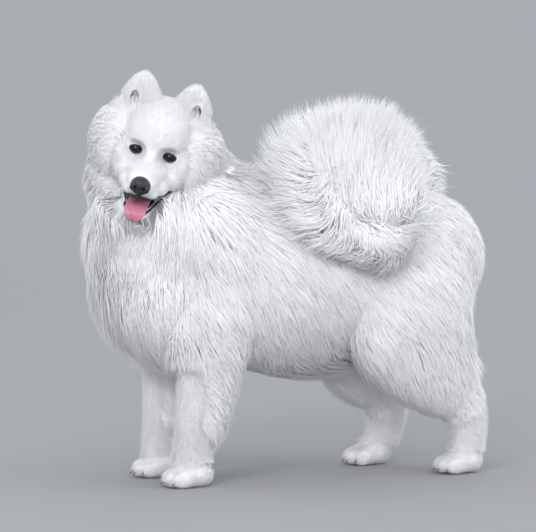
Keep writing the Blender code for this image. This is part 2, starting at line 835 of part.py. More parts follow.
def core_depth(place):
    """How far the core under the locks stands out from the flesh. It is none at the face."""
    near = (place - HEAD @ Vector((0, 0.02, 0))).length
    return CORE_SHARE * depth_at(place) * min(1.0, max(0.0, (near - 0.10) / 0.10))


def trunk_core():
    pieces = [limb(TRUNK)]
    for side in (1, -1):
        pieces.append(mass(
            (side * SHOULDER.x, SHOULDER.y, SHOULDER.z),
            (SHOULDER.half_side, SHOULDER.half_deep, 0.125), (0, side * 8, 0),
        ))
    upper = FORELEG[:3]
    pieces.append(limb(upper))
    pieces.append(limb(moved(mirrored(upper), RIGHT_FORE_BACK)))
    pieces.append(limb(LEFT_HINDLEG[:3]))
    pieces.append(limb(RIGHT_HINDLEG[:3]))
    return pieces


def whole_body(head):
    """The body without its nodes' cuts, which the locks follow. It isn't kept."""
    trunk = grown(moulded("trunk", trunk_core() + [limb(NECK)], BODY_VOXEL, 8, 3000), core_depth)
    head_copy = object_of("head copy", head.data.copy())
    pieces = [trunk, head_copy]
    pieces.append(limb(FORELEG))
    pieces.append(limb(moved(mirrored(FORELEG), RIGHT_FORE_BACK)))
    pieces.append(limb(LEFT_HINDLEG))
    pieces.append(limb(RIGHT_HINDLEG))
    return moulded("whole", pieces, BODY_VOXEL, 3, 7000)


def trunk_with(name, triangles):
    """The trunk and the neck in one, out to the core's depth."""
    trunk = moulded(name, trunk_core() + [limb(NECK)], BODY_VOXEL, 8, 3000)
    return moulded(name, [grown(trunk, core_depth)], BODY_VOXEL, 2, triangles)


def torso_core():
    return sliced(trunk_with("torso", 860), COLLAR_POINT - COLLAR_WAY * GAP, COLLAR_WAY)


def neck_core():
    return sliced(trunk_with("neck", 1050), COLLAR_POINT, -COLLAR_WAY)


def leg_core(name, stations, paw):
    """A leg with its paw: four toes, a heel pad, claws and a flat sole."""
    pieces = [limb(stations)]
    pieces.append(mass(paw + Vector((0, 0.012, 0.022)), (0.036, 0.040, 0.027)))
    for spread, ahead in TOES:
        turn = -spread * 500
        place = paw + Vector((spread * 0.92, ahead - 0.022, 0.0165))
        pieces.append(mass(place, TOE_RADII, (0, 0, turn)))
    leg = moulded(name, pieces, LEG_VOXEL, 3, 400)
    claws = []
    for spread, ahead in TOES:
        root = paw + Vector((spread * 0.98, ahead - 0.038, 0.0165))
        tip = root + Vector((spread * 0.16, -CLAW_LENGTH, -0.0125))
        claws.append(claw(root, tip))
    fuse(leg, claws)
    return sliced(leg, Vector((0, 0, 0)), Vector((0, 0, -1)))


def foreleg(name, stations):
    return sliced(leg_core(name, stations, PAWS[name]), Vector((0, 0, ELBOW_LEVEL)), UP)


def hindleg(side, stations):
    """The thigh and, below the hock's level, the hind foot."""
    foot = leg_core("hindfoot_" + side, stations, PAWS["hindfoot_" + side])
    thigh = object_of("thigh_" + side, foot.data.copy())
    sliced(thigh, Vector((0, 0, STIFLE_LEVEL)), UP)
    sliced(thigh, Vector((0, 0, HOCK_LEVEL + GAP)), -UP)
    return thigh, sliced(foot, Vector((0, 0, HOCK_LEVEL)), UP)


def claw(root, tip):
    """A short cone from inside the toe to its point."""
    shape = bmesh.new()
    length = (tip - root).length
    bmesh.ops.create_cone(
        shape, cap_ends=True, segments=4, radius1=CLAW_WIDTH / 2, radius2=0.0006, depth=length,
    )
    turn = Vector((0, 0, 1)).rotation_difference(tip - root).to_matrix().to_4x4()
    matrix = Matrix.Translation((root + tip) / 2) @ turn
    bmesh.ops.transform(shape, matrix=matrix, verts=shape.verts)
    bmesh.ops.triangulate(shape, faces=shape.faces)
    return object_from("claw", shape)


def tail_core():
    stations = []
    for turn in CURL:
        angle = math.radians(turn.angle)
        y = turn.radius * math.cos(angle)
        z = turn.radius * math.sin(angle)
        place = CURL_HUB + Vector((turn.x, y, z))
        stations.append(Station(*place, turn.half_side, turn.half_deep))
    end = stations[-1]
    pieces = [limb(stations, side=Vector((0.9, -0.2, 0.2)))]
    pieces.append(mass(TAIL_HEART, TAIL_HEART_RADII))
    pieces.append(mass((end.x, end.y, end.z), (0.018, 0.024, 0.022)))
    return moulded("tail", pieces, BODY_VOXEL, 3, 460)


def both_sides(points):
    """A lip's points from its left corner round the front to its right corner."""
    left = [Vector(p) for p in points]
    return left + [Vector((-p.x, p.y, p.z)) for p in reversed(left[:-1])]


def lid_ring(side):
    """The lids' edges: an almond drawn on a ball just outside the eye."""
    ring = []
    reach = EYE_RADIUS + 0.0006
    for k in range(14):
        turn = math.tau * k / 14
        x = (EYE_OPENING[0] + 0.0008) * math.cos(turn)
        z = (EYE_OPENING[1] + 0.0010) * math.sin(turn)
        y = EYE_BACK - math.sqrt(max(reach * reach - x * x - z * z, 0.0))
        ring.append((side * EYE_APART + x, y, z))
    return ring


def opening(side):
    """What is cut away in front of the eye: an almond prism out to the front."""
    shape = bmesh.new()
    bmesh.ops.create_cone(shape, cap_ends=True, segments=14, radius1=1, radius2=1.6, depth=0.04)
    matrix = (
        Matrix.Translation((side * EYE_APART, EYE_BACK - 0.004 - 0.02, 0.0))
        @ Matrix.Rotation(math.radians(90), 4, "X")
        @ Matrix.Diagonal((EYE_OPENING[0] - 0.0008, EYE_OPENING[1] - 0.0006, 1.0, 1.0))
    )
    bmesh.ops.transform(shape, matrix=matrix, verts=shape.verts)
    bmesh.ops.triangulate(shape, faces=shape.faces)
    return object_from("opening", shape)


def head_core():
    pieces = [limb(MUZZLE)]
    for place, radii in HEAD_MASSES:
        pieces.append(mass(place, radii))
    for place, radii in HEAD_PAIRS:
        pieces += pair(place, radii)
    return moulded("head", pieces, HEAD_VOXEL, 4, 1150)


def head_details(head, eyes):
    """Lids, lips, the mouth's hollow, and the eyes' sockets."""
    hollow = mass((0, -0.045, -0.0855), (0.030, 0.060, 0.0125), (8, 0, 0), 12)
    cut(head, hollow)
    rims = [cord(lid_ring(side), LID_THICKNESS, cyclic=True) for side in (1, -1)]
    rims.append(cord(both_sides(UPPER_LIP), LIP_THICKNESS))
    fuse(head, rims)
    for side, eye in zip((1, -1), eyes):
        cut(head, opening(side))
        cut(head, swollen(eye))
    return head


def named(name, thing):
    thing.name = name
    return keep_largest(thing)


def eye_ball(name, side):
    return named(name, mass((side * EYE_APART, EYE_BACK, 0), (EYE_RADIUS,) * 3, across=12))


def nose_leather():
    pieces = [mass((0, -0.097, -0.044), (0.0180, 0.0150, 0.0150))]
    pieces += pair((0.0105, -0.100, -0.0490), (0.0095, 0.0110, 0.0090))
    pieces.append(mass((0, -0.098, -0.056), (0.0060, 0.0085, 0.0070)))
    nose = moulded("nose", pieces, FINE_VOXEL, 3, 220)
    for nostril in pair((0.0090, -0.1110, -0.0475), (0.0034, 0.0080, 0.0036), (0, 0, 25), 8):
        cut(nose, nostril)
    for slit in pair((0.0155, -0.1060, -0.0520), (0.0042, 0.0060, 0.0014), (0, 25, 20), 6):
        cut(nose, slit)
    return nose


def ear(name, side):
    """A rounded, thick ear with its cup open to the front."""
    stations = EAR if side > 0 else mirrored(EAR)
    shell = moulded(name, [limb(stations)], 0.0030, 2, 260)
    cup = mass(
        (side * 0.053, 0.016, 0.100), (0.0245, 0.0200, 0.0350), (-12, side * -6, 0), 14,
    )
    return cut(shell, cup)


def lower_jaw(tongue):
    jaw = moulded("lower_jaw", [limb(JAW)], HEAD_VOXEL, 2, 200)
    fuse(jaw, [cord(both_sides(LOWER_LIP), LIP_THICKNESS)])
    return clear_of(jaw, tongue)


def tongue_body():
    return moulded("tongue", [limb(TONGUE)], 0.0021, 2, 180)


def in_dog_frame(thing):
    thing.data.transform(HEAD)
    return thing


def build():
    clear_scene()
    coat = finish_of("white coat", (0.90, 0.90, 0.91), 0.85)
    leather = finish_of("black nose leather", (0.025, 0.025, 0.028), 0.42)
    iris = finish_of("dark eye", (0.012, 0.009, 0.008), 0.08)
    flesh = finish_of("pink tongue", (0.80, 0.32, 0.38), 0.45)

    eyes = [eye_ball("eye_left", 1), eye_ball("eye_right", -1)]
    tongue = tongue_body()
    nose = nose_leather()
    head = head_core()
    jaw = lower_jaw(tongue)
    head = head_details(head, eyes)
    clear_of(head, tongue, jaw, nose)
    ears = [ear("ear_left", 1), ear("ear_right", -1)]
    for one in ears:
        clear_of(one, head)
    for piece in eyes + ears + [tongue, nose, head, jaw]:
        in_dog_frame(piece)

    neck = neck_core()
    clear_of(head, neck)
    clear_of(jaw, neck)
    for one in ears:
        clear_of(one, neck)
    torso = torso_core()
    tail = tail_core()
    forelegs = [
        foreleg("foreleg_left", FORELEG),
        foreleg("foreleg_right", moved(mirrored(FORELEG), RIGHT_FORE_BACK)),
    ]
    thighs = []
    feet = []
    for side, stations in (("left", LEFT_HINDLEG), ("right", RIGHT_HINDLEG)):
        thigh, foot = hindleg(side, stations)
        thighs.append(thigh)
        feet.append(foot)
    whole = whole_body(head)
    body = tree_of(whole)
    bpy.data.objects.remove(whole)
    into_head = HEAD.inverted()

    def away_from(tree, room):
        return lambda place: (tree.find_nearest(place)[0] - place).length > room

    def on_ruff(place):
        """Cheeks and the back of the skull, clear of the ears and of the face."""
        spot = into_head @ place
        beside = abs(spot.x) > 0.062 and spot.y > 0.004 and spot.z < 0.045
        return beside or (spot.y > 0.085 and spot.z < 0.070)

    def on_feather(start):
        return lambda place: 0.13 < place.z < 0.25 and place.y > start

    head = with_locks(head, body, CHEEK_LOCK, on_ruff, 14, ears + [neck])
    tail = with_plume(tail, 5)
    off_face = away_from(tree_of(head, jaw), 0.010)
    neck = with_locks(neck, body, RUFF_LOCK, off_face, 3, [head, jaw, tail] + ears + forelegs)
    off_legs = away_from(tree_of(*forelegs, *thighs), 0.016)
    off_tail = away_from(tree_of(tail), 0.012)
    off_neck = away_from(tree_of(neck), 0.012)
    torso = with_locks(
        torso, body, TORSO_LOCK,
        lambda p: off_neck(p) and off_tail(p) and off_legs(p), 16,
        [neck, tail] + forelegs + feet,
    )
    neck = clear_of(neck, head, jaw, ears[0], ears[1], tail)
    torso = clear_of(torso, neck, tail)
    for k, leg in enumerate(forelegs + thighs):
        with_locks(leg, body, LEG_LOCK, on_feather(FEATHER_STARTS[k]), 7 + k, [torso])
        clear_of(leg, torso)
    for thigh, foot in zip(thighs, feet):
        clear_of(thigh, foot)
    legs = forelegs + thighs + feet
    for room in list(bpy.data.collections):
        for taken in list(room.objects):
            if room.name.startswith("space of "):
                bpy.data.objects.remove(taken)
        bpy.data.collections.remove(room)

    finishes = {"nose": leather, "eye_left": iris, "eye_right": iris, "tongue": flesh}
    stand = bpy.data.objects.new("samoyed", None)
    bpy.context.scene.collection.objects.link(stand)
    stand.location = DOG_SHIFT
    parts = bpy.data.collections.new("samoyed")
    bpy.context.scene.collection.children.link(parts)
    for piece in [head, jaw, tongue, nose, neck, torso, tail] + eyes + ears + legs:
        piece.data.materials.clear()
        piece.data.materials.append(finishes.get(piece.name, coat))
        piece.data.shade_smooth()
        piece.data.set_sharp_from_angle(angle=math.radians(50))
        piece.parent = stand
        for home in list(piece.users_collection):
            home.objects.unlink(piece)
        parts.objects.link(piece)
    bpy.context.view_layer.update()


build()
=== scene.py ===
"""The looks of a standing samoyed at life size: skin, coat, eyes, nose, mouth and claws.

Metres, +Z up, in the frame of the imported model. The dog faces -Y and its left side is +X.
One skin is melted from limbs and balls that overlap. The tufts of the coat have their roots at
random places on it, and guides set round the body say which way and how deep they lie.
"""

import itertools
import math

import bpy
import numpy as np
from mathutils import Matrix, Vector


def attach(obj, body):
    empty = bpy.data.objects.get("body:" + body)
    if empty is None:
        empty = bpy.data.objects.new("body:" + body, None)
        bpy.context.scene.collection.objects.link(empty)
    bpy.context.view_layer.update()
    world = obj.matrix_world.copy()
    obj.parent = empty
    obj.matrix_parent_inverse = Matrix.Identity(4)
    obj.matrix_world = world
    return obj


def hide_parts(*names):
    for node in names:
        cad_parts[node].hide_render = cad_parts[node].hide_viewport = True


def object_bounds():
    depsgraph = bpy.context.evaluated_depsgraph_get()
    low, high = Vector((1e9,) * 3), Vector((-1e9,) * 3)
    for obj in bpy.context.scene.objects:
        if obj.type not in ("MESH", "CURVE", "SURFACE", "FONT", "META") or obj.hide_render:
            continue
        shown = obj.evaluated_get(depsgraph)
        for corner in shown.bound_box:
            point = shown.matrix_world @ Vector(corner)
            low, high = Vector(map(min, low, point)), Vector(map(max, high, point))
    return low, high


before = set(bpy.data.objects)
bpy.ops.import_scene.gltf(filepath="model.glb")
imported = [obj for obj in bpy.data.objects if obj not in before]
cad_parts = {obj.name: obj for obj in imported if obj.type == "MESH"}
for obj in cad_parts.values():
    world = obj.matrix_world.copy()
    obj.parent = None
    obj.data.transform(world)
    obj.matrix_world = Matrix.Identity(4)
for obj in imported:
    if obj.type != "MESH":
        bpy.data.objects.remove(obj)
cad_low, cad_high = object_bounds()
# All that is left to chance is drawn from here, in one order
draw = np.random.default_rng(12)

# Where the dog's own frame stands in the model's, as in the solids
DOG_SHIFT = np.array((-0.0114, -0.0235, 0.0))

# The head's frame starts midway between the eyes: x to its left, y back, z up
HEAD = np.array(
    Matrix.Translation((0.096, -0.294, 0.6665))
    @ Matrix.Rotation(math.radians(64.4), 4, "Z")
    @ Matrix.Rotation(math.radians(13.0), 4, "X")
    @ Matrix.Rotation(math.radians(15.4), 4, "Y")
)
HEAD_BACK = np.linalg.inv(HEAD)

# How far the fur stands over the skin on the face, the ears and the legs
FACE_FUR = 0.0030
EAR_FUR = 0.0008
LEG_FUR = 0.0075
# The eyes: half the way between them, how far back their middles are, their size and the
# opening of the lids as half its width and height
EYE_APART = 0.0345
EYE_BACK = 0.0090
EYE_RADIUS = 0.0115
EYE_OPENING = (0.0105, 0.0070)
LID_THICKNESS = 0.0019
LIP_THICKNESS = 0.0025
# Voxels and rounds of smoothing that melt the body, the head and the nose
BODY_MELT = (0.006, 3)
HEAD_MELT = (0.0022, 20)
NOSE_MELT = (0.0009, 4)
# The coat's triangles in all and in a piece at most, and those of a tall and of a short tuft
COAT_TRIANGLES = 1480000
PIECE_TRIANGLES = 190000
TALL_TRIANGLES = 6
SHORT_TRIANGLES = 4
SHORT_LENGTH = 0.0235
# How wide a tuft's patch is in the map of the skin
PATCH = 0.003
# How far the shading of a tall and of a short tuft strays from the coat's, and the least
# cosine between it and a side's own way: a side past that is shaded by its own way
TUFT_TURN = 0.07
SHORT_TURN = 0.18
TURNED_AWAY = 0.10
# How flat a short and a tall tuft look: the coat's way counts by this beside the tuft's sides
SHORT_FLAT = 2.0
TUFT_FLAT = 6.5
# How deep a root sits, how high over the skin the way out is read, how far tips may leave the
# solids' box, and how high the lowest hair and the skin of the soles are over the floor
ROOT_DEPTH = 0.0012
PROBE_HEIGHT = 0.006
BOX_ROOM = 0.004
FLOOR_ROOM = 0.0006
SOLE_HEIGHT = 0.0012

# Shapes of the head, in its own frame. A ball is its middle and its three radii. These are the
# skull, the forehead, the lower head, the root of the muzzle and the throat
HEAD_MASSES = (
    ((0, 0.058, 0.028), (0.076, 0.086, 0.075)),
    ((0, 0.026, 0.040), (0.052, 0.040, 0.046)),
    ((0, 0.055, -0.060), (0.062, 0.070, 0.050)),
    ((0, 0.000, -0.030), (0.040, 0.035, 0.030)),
    ((0, 0.008, -0.136), (0.062, 0.064, 0.042)),
)
# These stand on both sides: brow, cheekbone, cheek, lip and side of the muzzle, the filling
# between muzzle and cheek, and the ruff over and under the cheek
HEAD_PAIRS = (
    ((0.031, 0.013, 0.020), (0.024, 0.019, 0.016)),
    ((0.042, 0.017, -0.022), (0.028, 0.024, 0.021)),
    ((0.060, 0.052, -0.022), (0.047, 0.056, 0.064)),
    ((0.021, -0.066, -0.060), (0.0175, 0.027, 0.0150)),
    ((0.033, -0.026, -0.056), (0.0175, 0.040, 0.0175)),
    ((0.040, 0.016, -0.045), (0.0330, 0.036, 0.0330)),
    ((0.060, 0.062, 0.003), (0.0550, 0.058, 0.0690)),
    ((0.045, 0.064, -0.085), (0.0560, 0.055, 0.0500)),
)
# A limb is a row of stations: a middle, half the width and half the depth there
MUZZLE = (
    (0, 0.035, -0.040, 0.054, 0.046),
    (0, -0.018, -0.040, 0.041, 0.036),
    (0, -0.055, -0.044, 0.034, 0.030),
    (0, -0.082, -0.047, 0.029, 0.026),
    (0, -0.096, -0.049, 0.021, 0.019),
)
JAW = (
    (0, 0.020, -0.096, 0.042, 0.021),
    (0, -0.025, -0.103, 0.034, 0.018),
    (0, -0.060, -0.111, 0.027, 0.015),
    (0, -0.079, -0.115, 0.019, 0.011),
)
TONGUE = (
    (0, 0.000, -0.0860, 0.0190, 0.0040),
    (0, -0.040, -0.0890, 0.0210, 0.0042),
    (0, -0.075, -0.0950, 0.0215, 0.0040),
    (0, -0.090, -0.1035, 0.0205, 0.0036),
    (0, -0.0925, -0.1140, 0.0150, 0.0030),
    (0, -0.0905, -0.1185, 0.0085, 0.0024),
)
UPPER_LIP = (
    (0.053, -0.004, -0.0650),
    (0.043, -0.030, -0.0715),
    (0.034, -0.055, -0.0745),
    (0.022, -0.078, -0.0735),
    (0.010, -0.090, -0.070),
    (0.000, -0.093, -0.068),
)
LOWER_LIP = (
    (0.051, 0.000, -0.0710),
    (0.036, -0.030, -0.0905),
    (0.026, -0.055, -0.0990),
    (0.018, -0.072, -0.1040),
    (0.009, -0.081, -0.1065),
    (0.000, -0.084, -0.1075),
)
EAR = (
    (0.051, 0.052, 0.055, 0.046, 0.026),
    (0.051, 0.048, 0.083, 0.044, 0.023),
    (0.052, 0.043, 0.108, 0.036, 0.0185),
    (0.0525, 0.039, 0.128, 0.0255, 0.0140),
    (0.0530, 0.036, 0.142, 0.0140, 0.0090),
    (0.0530, 0.035, 0.149, 0.0050, 0.0035),
)
# The bridge between the eyes, the balls that hollow out the mouth and the cup of an ear, and
# the place that the hair of the face lies away from
BRIDGE = ((0, -0.002, -0.006), (0.027, 0.032, 0.026))
MOUTH = ((0, -0.045, -0.0855), (0.030, 0.060, 0.0125))
EAR_CUP = ((0.063, 0.020, 0.094), (0.0105, 0.0160, 0.0170))
NOSE_TIP = (0, -0.112, -0.040)

# Shapes of the body, in the dog's frame
TRUNK = (
    (0, -0.315, 0.420, 0.060, 0.075),
    (0, -0.275, 0.420, 0.105, 0.130),
    (0, -0.195, 0.420, 0.132, 0.163),
    (0, -0.090, 0.420, 0.141, 0.162),
    (0, 0.040, 0.425, 0.139, 0.157),
    (0, 0.160, 0.437, 0.137, 0.145),
    (0, 0.260, 0.440, 0.138, 0.138),
    (0, 0.340, 0.430, 0.122, 0.126),
    (0, 0.394, 0.410, 0.078, 0.088),
)
NECK = (
    (0.000, -0.120, 0.430, 0.122, 0.128),
    (-0.002, -0.187, 0.505, 0.118, 0.124),
    (-0.010, -0.218, 0.570, 0.106, 0.108),
    (-0.018, -0.232, 0.630, 0.092, 0.092),
    (-0.018, -0.238, 0.685, 0.066, 0.066),
)
SHOULDER = ((0.084, -0.165, 0.440), (0.058, 0.085, 0.125))
CHEST = ((0.006, -0.270, 0.495), (0.105, 0.092, 0.120))
# The middle of the tail's ring, and the place that the hair in the ring fans out from
CURL_HUB = np.array((0.0, 0.175, 0.570))
FAN_ROOT = np.array((0.0, 0.200, 0.400))
# Turns of the tail round its hub: the angle, how far left, how far out its middle is, half its
# width and depth, and how far out the tips of its plume are
CURL = (
    (-10, 0.000, 0.149, 0.036, 0.034, 0.204),
    (14, 0.000, 0.146, 0.040, 0.042, 0.230),
    (44, 0.006, 0.126, 0.044, 0.046, 0.206),
    (87, 0.020, 0.098, 0.046, 0.048, 0.226),
    (136, 0.056, 0.116, 0.046, 0.048, 0.254),
    (166, 0.112, 0.131, 0.042, 0.046, 0.268),
    (197, 0.168, 0.118, 0.034, 0.040, 0.226),
    (230, 0.190, 0.100, 0.028, 0.034, 0.166),
    (262, 0.190, 0.082, 0.024, 0.028, 0.164),
    (290, 0.184, 0.068, 0.018, 0.022, 0.138),
)
# Masses of hair that fill the ring of the tail, how much of the space round them counts as
# theirs, and the slanting floor of that space: its height at a place and its fall to the left
TAIL_HEARTS = (
    ((0.060, 0.175, 0.604), (0.058, 0.086, 0.068)),
    ((0.118, 0.135, 0.585), (0.046, 0.062, 0.066)),
    ((0.156, 0.172, 0.545), (0.042, 0.064, 0.056)),
)
HEART_REACH = 1.06
HEART_HEIGHT, HEART_PLACE, HEART_FALL = 0.565, 0.09, 0.9
# How much of the tail's thickness is flesh
TAIL_SHARE = 0.62
FORELEG = (
    (0.094, -0.158, 0.390, 0.055, 0.078),
    (0.100, -0.170, 0.335, 0.052, 0.072),
    (0.099, -0.180, 0.280, 0.047, 0.063),
    (0.093, -0.190, 0.210, 0.041, 0.056),
    (0.086, -0.199, 0.140, 0.036, 0.048),
    (0.081, -0.205, 0.085, 0.033, 0.043),
    (0.080, -0.214, 0.040, 0.032, 0.038),
)
LEFT_HINDLEG = (
    (0.085, 0.248, 0.440, 0.066, 0.118),
    (0.098, 0.256, 0.360, 0.066, 0.124),
    (0.103, 0.274, 0.285, 0.057, 0.108),
    (0.099, 0.330, 0.212, 0.043, 0.074),
    (0.096, 0.386, 0.158, 0.034, 0.049),
    (0.095, 0.402, 0.110, 0.031, 0.041),
    (0.095, 0.400, 0.045, 0.031, 0.040),
)
RIGHT_HINDLEG = (
    (-0.085, 0.240, 0.440, 0.066, 0.118),
    (-0.098, 0.236, 0.360, 0.066, 0.120),
    (-0.103, 0.230, 0.285, 0.057, 0.104),
    (-0.099, 0.254, 0.212, 0.043, 0.076),
    (-0.096, 0.295, 0.158, 0.034, 0.049),
    (-0.095, 0.303, 0.110, 0.031, 0.041),
    (-0.095, 0.288, 0.045, 0.031, 0.040),
)
RIGHT_FORE_BACK = -0.014
# The middles of the paws, and how far to the side and back each toe is from there
PAWS = ((0.080, -0.212), (-0.080, -0.226), (0.095, 0.384), (-0.095, 0.258))
TOES = ((-0.030, 0.004), (-0.0105, -0.008), (0.0105, -0.008), (0.030, 0.004))

# The lie of the coat: a place, and the way that the hair there points. The second table is in
# the head's frame and on both sides
LIE = (
    ((0.00, -0.33, 0.56), (0.00, -0.30, -1.0)),
    ((0.00, -0.34, 0.40), (0.00, 0.10, -1.0)),
    ((0.12, -0.27, 0.58), (0.25, 0.10, -1.0)),
    ((-0.12, -0.27, 0.58), (-0.25, 0.10, -1.0)),
    ((0.00, -0.14, 0.68), (0.00, 0.75, -0.60)),
    ((0.08, -0.15, 0.62), (0.15, 0.70, -0.75)),
    ((0.00, -0.10, 0.60), (0.00, 0.95, -0.25)),
    ((0.14, -0.18, 0.44), (0.00, 0.45, -0.90)),
    ((-0.14, -0.18, 0.44), (0.00, 0.45, -0.90)),
    ((0.00, -0.05, 0.60), (0.00, 1.00, -0.05)),
    ((0.00, 0.15, 0.59), (0.00, 1.00, 0.00)),
    ((0.15, 0.00, 0.44), (0.00, 0.60, -0.80)),
    ((-0.15, 0.00, 0.44), (0.00, 0.60, -0.80)),
    ((0.12, 0.02, 0.30), (0.00, 0.45, -0.90)),
    ((-0.12, 0.02, 0.30), (0.00, 0.45, -0.90)),
    ((0.00, 0.02, 0.26), (0.00, 0.80, -0.60)),
    ((0.00, 0.38, 0.50), (0.00, 0.40, -0.90)),
    ((0.15, 0.25, 0.42), (0.00, 0.60, -0.80)),
    ((-0.15, 0.25, 0.42), (0.00, 0.60, -0.80)),
    ((0.12, 0.36, 0.32), (0.00, 0.30, -0.95)),
    ((-0.12, 0.30, 0.32), (0.00, 0.30, -0.95)),
    ((0.10, -0.18, 0.15), (0.00, 0.55, -0.85)),
    ((-0.10, -0.18, 0.15), (0.00, 0.55, -0.85)),
)
HEAD_LIE = (
    ((0.100, 0.050, -0.010), (0.40, 0.70, -0.60)),
    ((0.080, 0.045, 0.055), (0.60, 0.65, -0.30)),
    ((0.080, 0.050, -0.080), (0.25, 0.35, -0.90)),
    ((0.070, 0.110, 0.050), (0.50, 0.70, -0.45)),
    ((0.000, 0.140, 0.060), (0.00, 0.70, -0.60)),
)
# How far the tips stand beyond the flesh, by the same kind of guides
DEPTH = (
    ((0.00, -0.36, 0.56), 0.070),
    ((0.13, -0.25, 0.58), 0.085),
    ((-0.13, -0.25, 0.58), 0.088),
    ((0.00, -0.14, 0.69), 0.095),
    ((0.06, -0.14, 0.64), 0.095),
    ((0.00, -0.35, 0.44), 0.084),
    ((0.00, -0.26, 0.30), 0.060),
    ((0.14, -0.18, 0.42), 0.046),
    ((-0.14, -0.18, 0.42), 0.046),
    ((0.00, 0.05, 0.59), 0.036),
    ((0.15, 0.05, 0.43), 0.044),
    ((-0.15, 0.05, 0.43), 0.044),
    ((0.00, 0.02, 0.26), 0.092),
    ((0.15, 0.28, 0.42), 0.042),
    ((-0.15, 0.28, 0.42), 0.042),
    ((0.00, 0.40, 0.42), 0.052),
    ((0.10, 0.37, 0.30), 0.048),
    ((-0.10, 0.33, 0.30), 0.048),
    ((0.10, 0.42, 0.20), 0.020),
    ((-0.10, 0.33, 0.20), 0.020),
    ((0.10, -0.14, 0.20), 0.036),
    ((-0.10, -0.16, 0.20), 0.036),
    ((0.10, -0.24, 0.20), 0.012),
    ((-0.10, -0.26, 0.20), 0.012),
)
HEAD_DEPTH = (
    ((0.112, 0.050, -0.010), 0.042),
    ((0.085, 0.080, -0.090), 0.046),
    ((0.070, 0.120, 0.050), 0.050),
    ((0.090, 0.045, 0.050), 0.030),
    ((0.060, 0.035, 0.090), 0.012),
    ((0.050, 0.030, -0.120), 0.045),
    ((0.000, -0.040, -0.150), 0.020),
    ((0.000, 0.020, 0.060), 0.008),
    ((0.000, 0.090, 0.085), 0.016),
)


# Shapes as arrays: each is its points and its faces of four and of three corners
def smooth_rows(stations, count):
    """Rows on a smooth curve through the stations: each piece between two stations is the
    cubic whose slopes there are half the step from the station before to the one after."""
    s = np.array(stations, float)
    t = np.linspace(0, len(s) - 1, count)
    i = np.minimum(t.astype(int), len(s) - 2)
    f = (t - i)[:, None]
    p = np.vstack([2 * s[0] - s[1], s, 2 * s[-1] - s[-2]])
    a, b, c, d = p[i], p[i + 1], p[i + 2], p[i + 3]
    bend = (c - a) * f + (2 * a - 5 * b + 4 * c - d) * f**2 + (3 * b - a - 3 * c + d) * f**3
    return b + 0.5 * bend


def unit(rows):
    """Each row divided by its own length."""
    return rows / np.maximum(np.linalg.norm(rows, axis=-1, keepdims=True), 1e-9)


def closed_grid(rings, first, last):
    """A closed skin over rings of points, with one pole before them and one after."""
    m, n, _ = rings.shape
    points = np.vstack([rings.reshape(-1, 3), first[None], last[None]])
    low = np.arange(m - 1)[:, None] * n + np.arange(n)[None]
    nxt = np.arange(m - 1)[:, None] * n + (np.arange(n)[None] + 1) % n
    quads = np.stack([low, nxt, nxt + n, low + n], -1).reshape(-1, 4)
    k = np.arange(n)
    after = (k + 1) % n
    start = np.stack([np.full(n, m * n), after, k], -1)
    end = np.stack([np.full(n, m * n + 1), (m - 1) * n + k, (m - 1) * n + after], -1)
    return points, quads, np.vstack([start, end])


# The rings of a limb's rounded end, as turns in degrees, and how far it bulges for its width
CAP_TURNS = (80, 60, 35)
CAP_BULGE = 0.2


def tube(stations, side=(1, 0, 0), count=None, sides=36):
    """A limb: rings set square to a smooth curve through its stations. A point of a ring is
    the middle plus its half width times the cosine sideways plus its half depth times the
    sine in the other way. At each end the rings shrink by a cosine as they move out by a sine."""
    rows = smooth_rows(stations, count or 6 * len(stations))
    middle, wide, deep = rows[:, :3], rows[:, 3], rows[:, 4]
    along = unit(np.gradient(middle, axis=0))
    side = np.array(side, float)
    across = unit(side - along * (along @ side)[:, None])
    up = np.cross(along, across)
    caps = np.radians(CAP_TURNS)
    reach = CAP_BULGE * np.minimum(wide, deep)
    starts = middle[0] - along[0] * (reach[0] * np.sin(caps))[:, None]
    ends = middle[-1] + along[-1] * (reach[-1] * np.sin(caps[::-1]))[:, None]
    middle = np.vstack([starts, middle, ends])
    across = np.vstack([[across[0]] * 3, across, [across[-1]] * 3])
    up = np.vstack([[up[0]] * 3, up, [up[-1]] * 3])
    wide = np.concatenate([wide[0] * np.cos(caps), wide, wide[-1] * np.cos(caps[::-1])])
    deep = np.concatenate([deep[0] * np.cos(caps), deep, deep[-1] * np.cos(caps[::-1])])
    turn = np.linspace(0, math.tau, sides, endpoint=False)
    rings = middle[:, None] + across[:, None] * (wide[:, None] * np.cos(turn))[..., None]
    rings = rings + up[:, None] * (deep[:, None] * np.sin(turn))[..., None]
    first = rows[0, :3] - along[0] * reach[0]
    last = rows[-1, :3] + along[-1] * reach[-1]
    return closed_grid(rings, first, last)


def ball(place, radii, turn=(0, 0, 0), rings=20, sides=32):
    """An ellipsoid: the middle plus its radii times the cosines and sines of a turn round it
    and of a fall from its top."""
    fall = np.linspace(0, math.pi, rings + 2)[1:-1, None]
    spin = np.linspace(0, math.tau, sides, endpoint=False)[None]
    unit_ball = np.stack([
        np.sin(fall) * np.cos(spin), np.sin(fall) * np.sin(spin), np.cos(fall) + 0 * spin,
    ], -1)
    matrix = np.array(
        Matrix.Rotation(math.radians(turn[2]), 3, "Z")
        @ Matrix.Rotation(math.radians(turn[1]), 3, "Y")
        @ Matrix.Rotation(math.radians(turn[0]), 3, "X")
    )
    place = np.array(place, float)
    shaped = (unit_ball * np.array(radii)) @ matrix.T + place
    top = matrix @ np.array((0, 0, radii[2])) + place
    base = matrix @ np.array((0, 0, -radii[2])) + place
    return closed_grid(shaped[::-1], base, top)


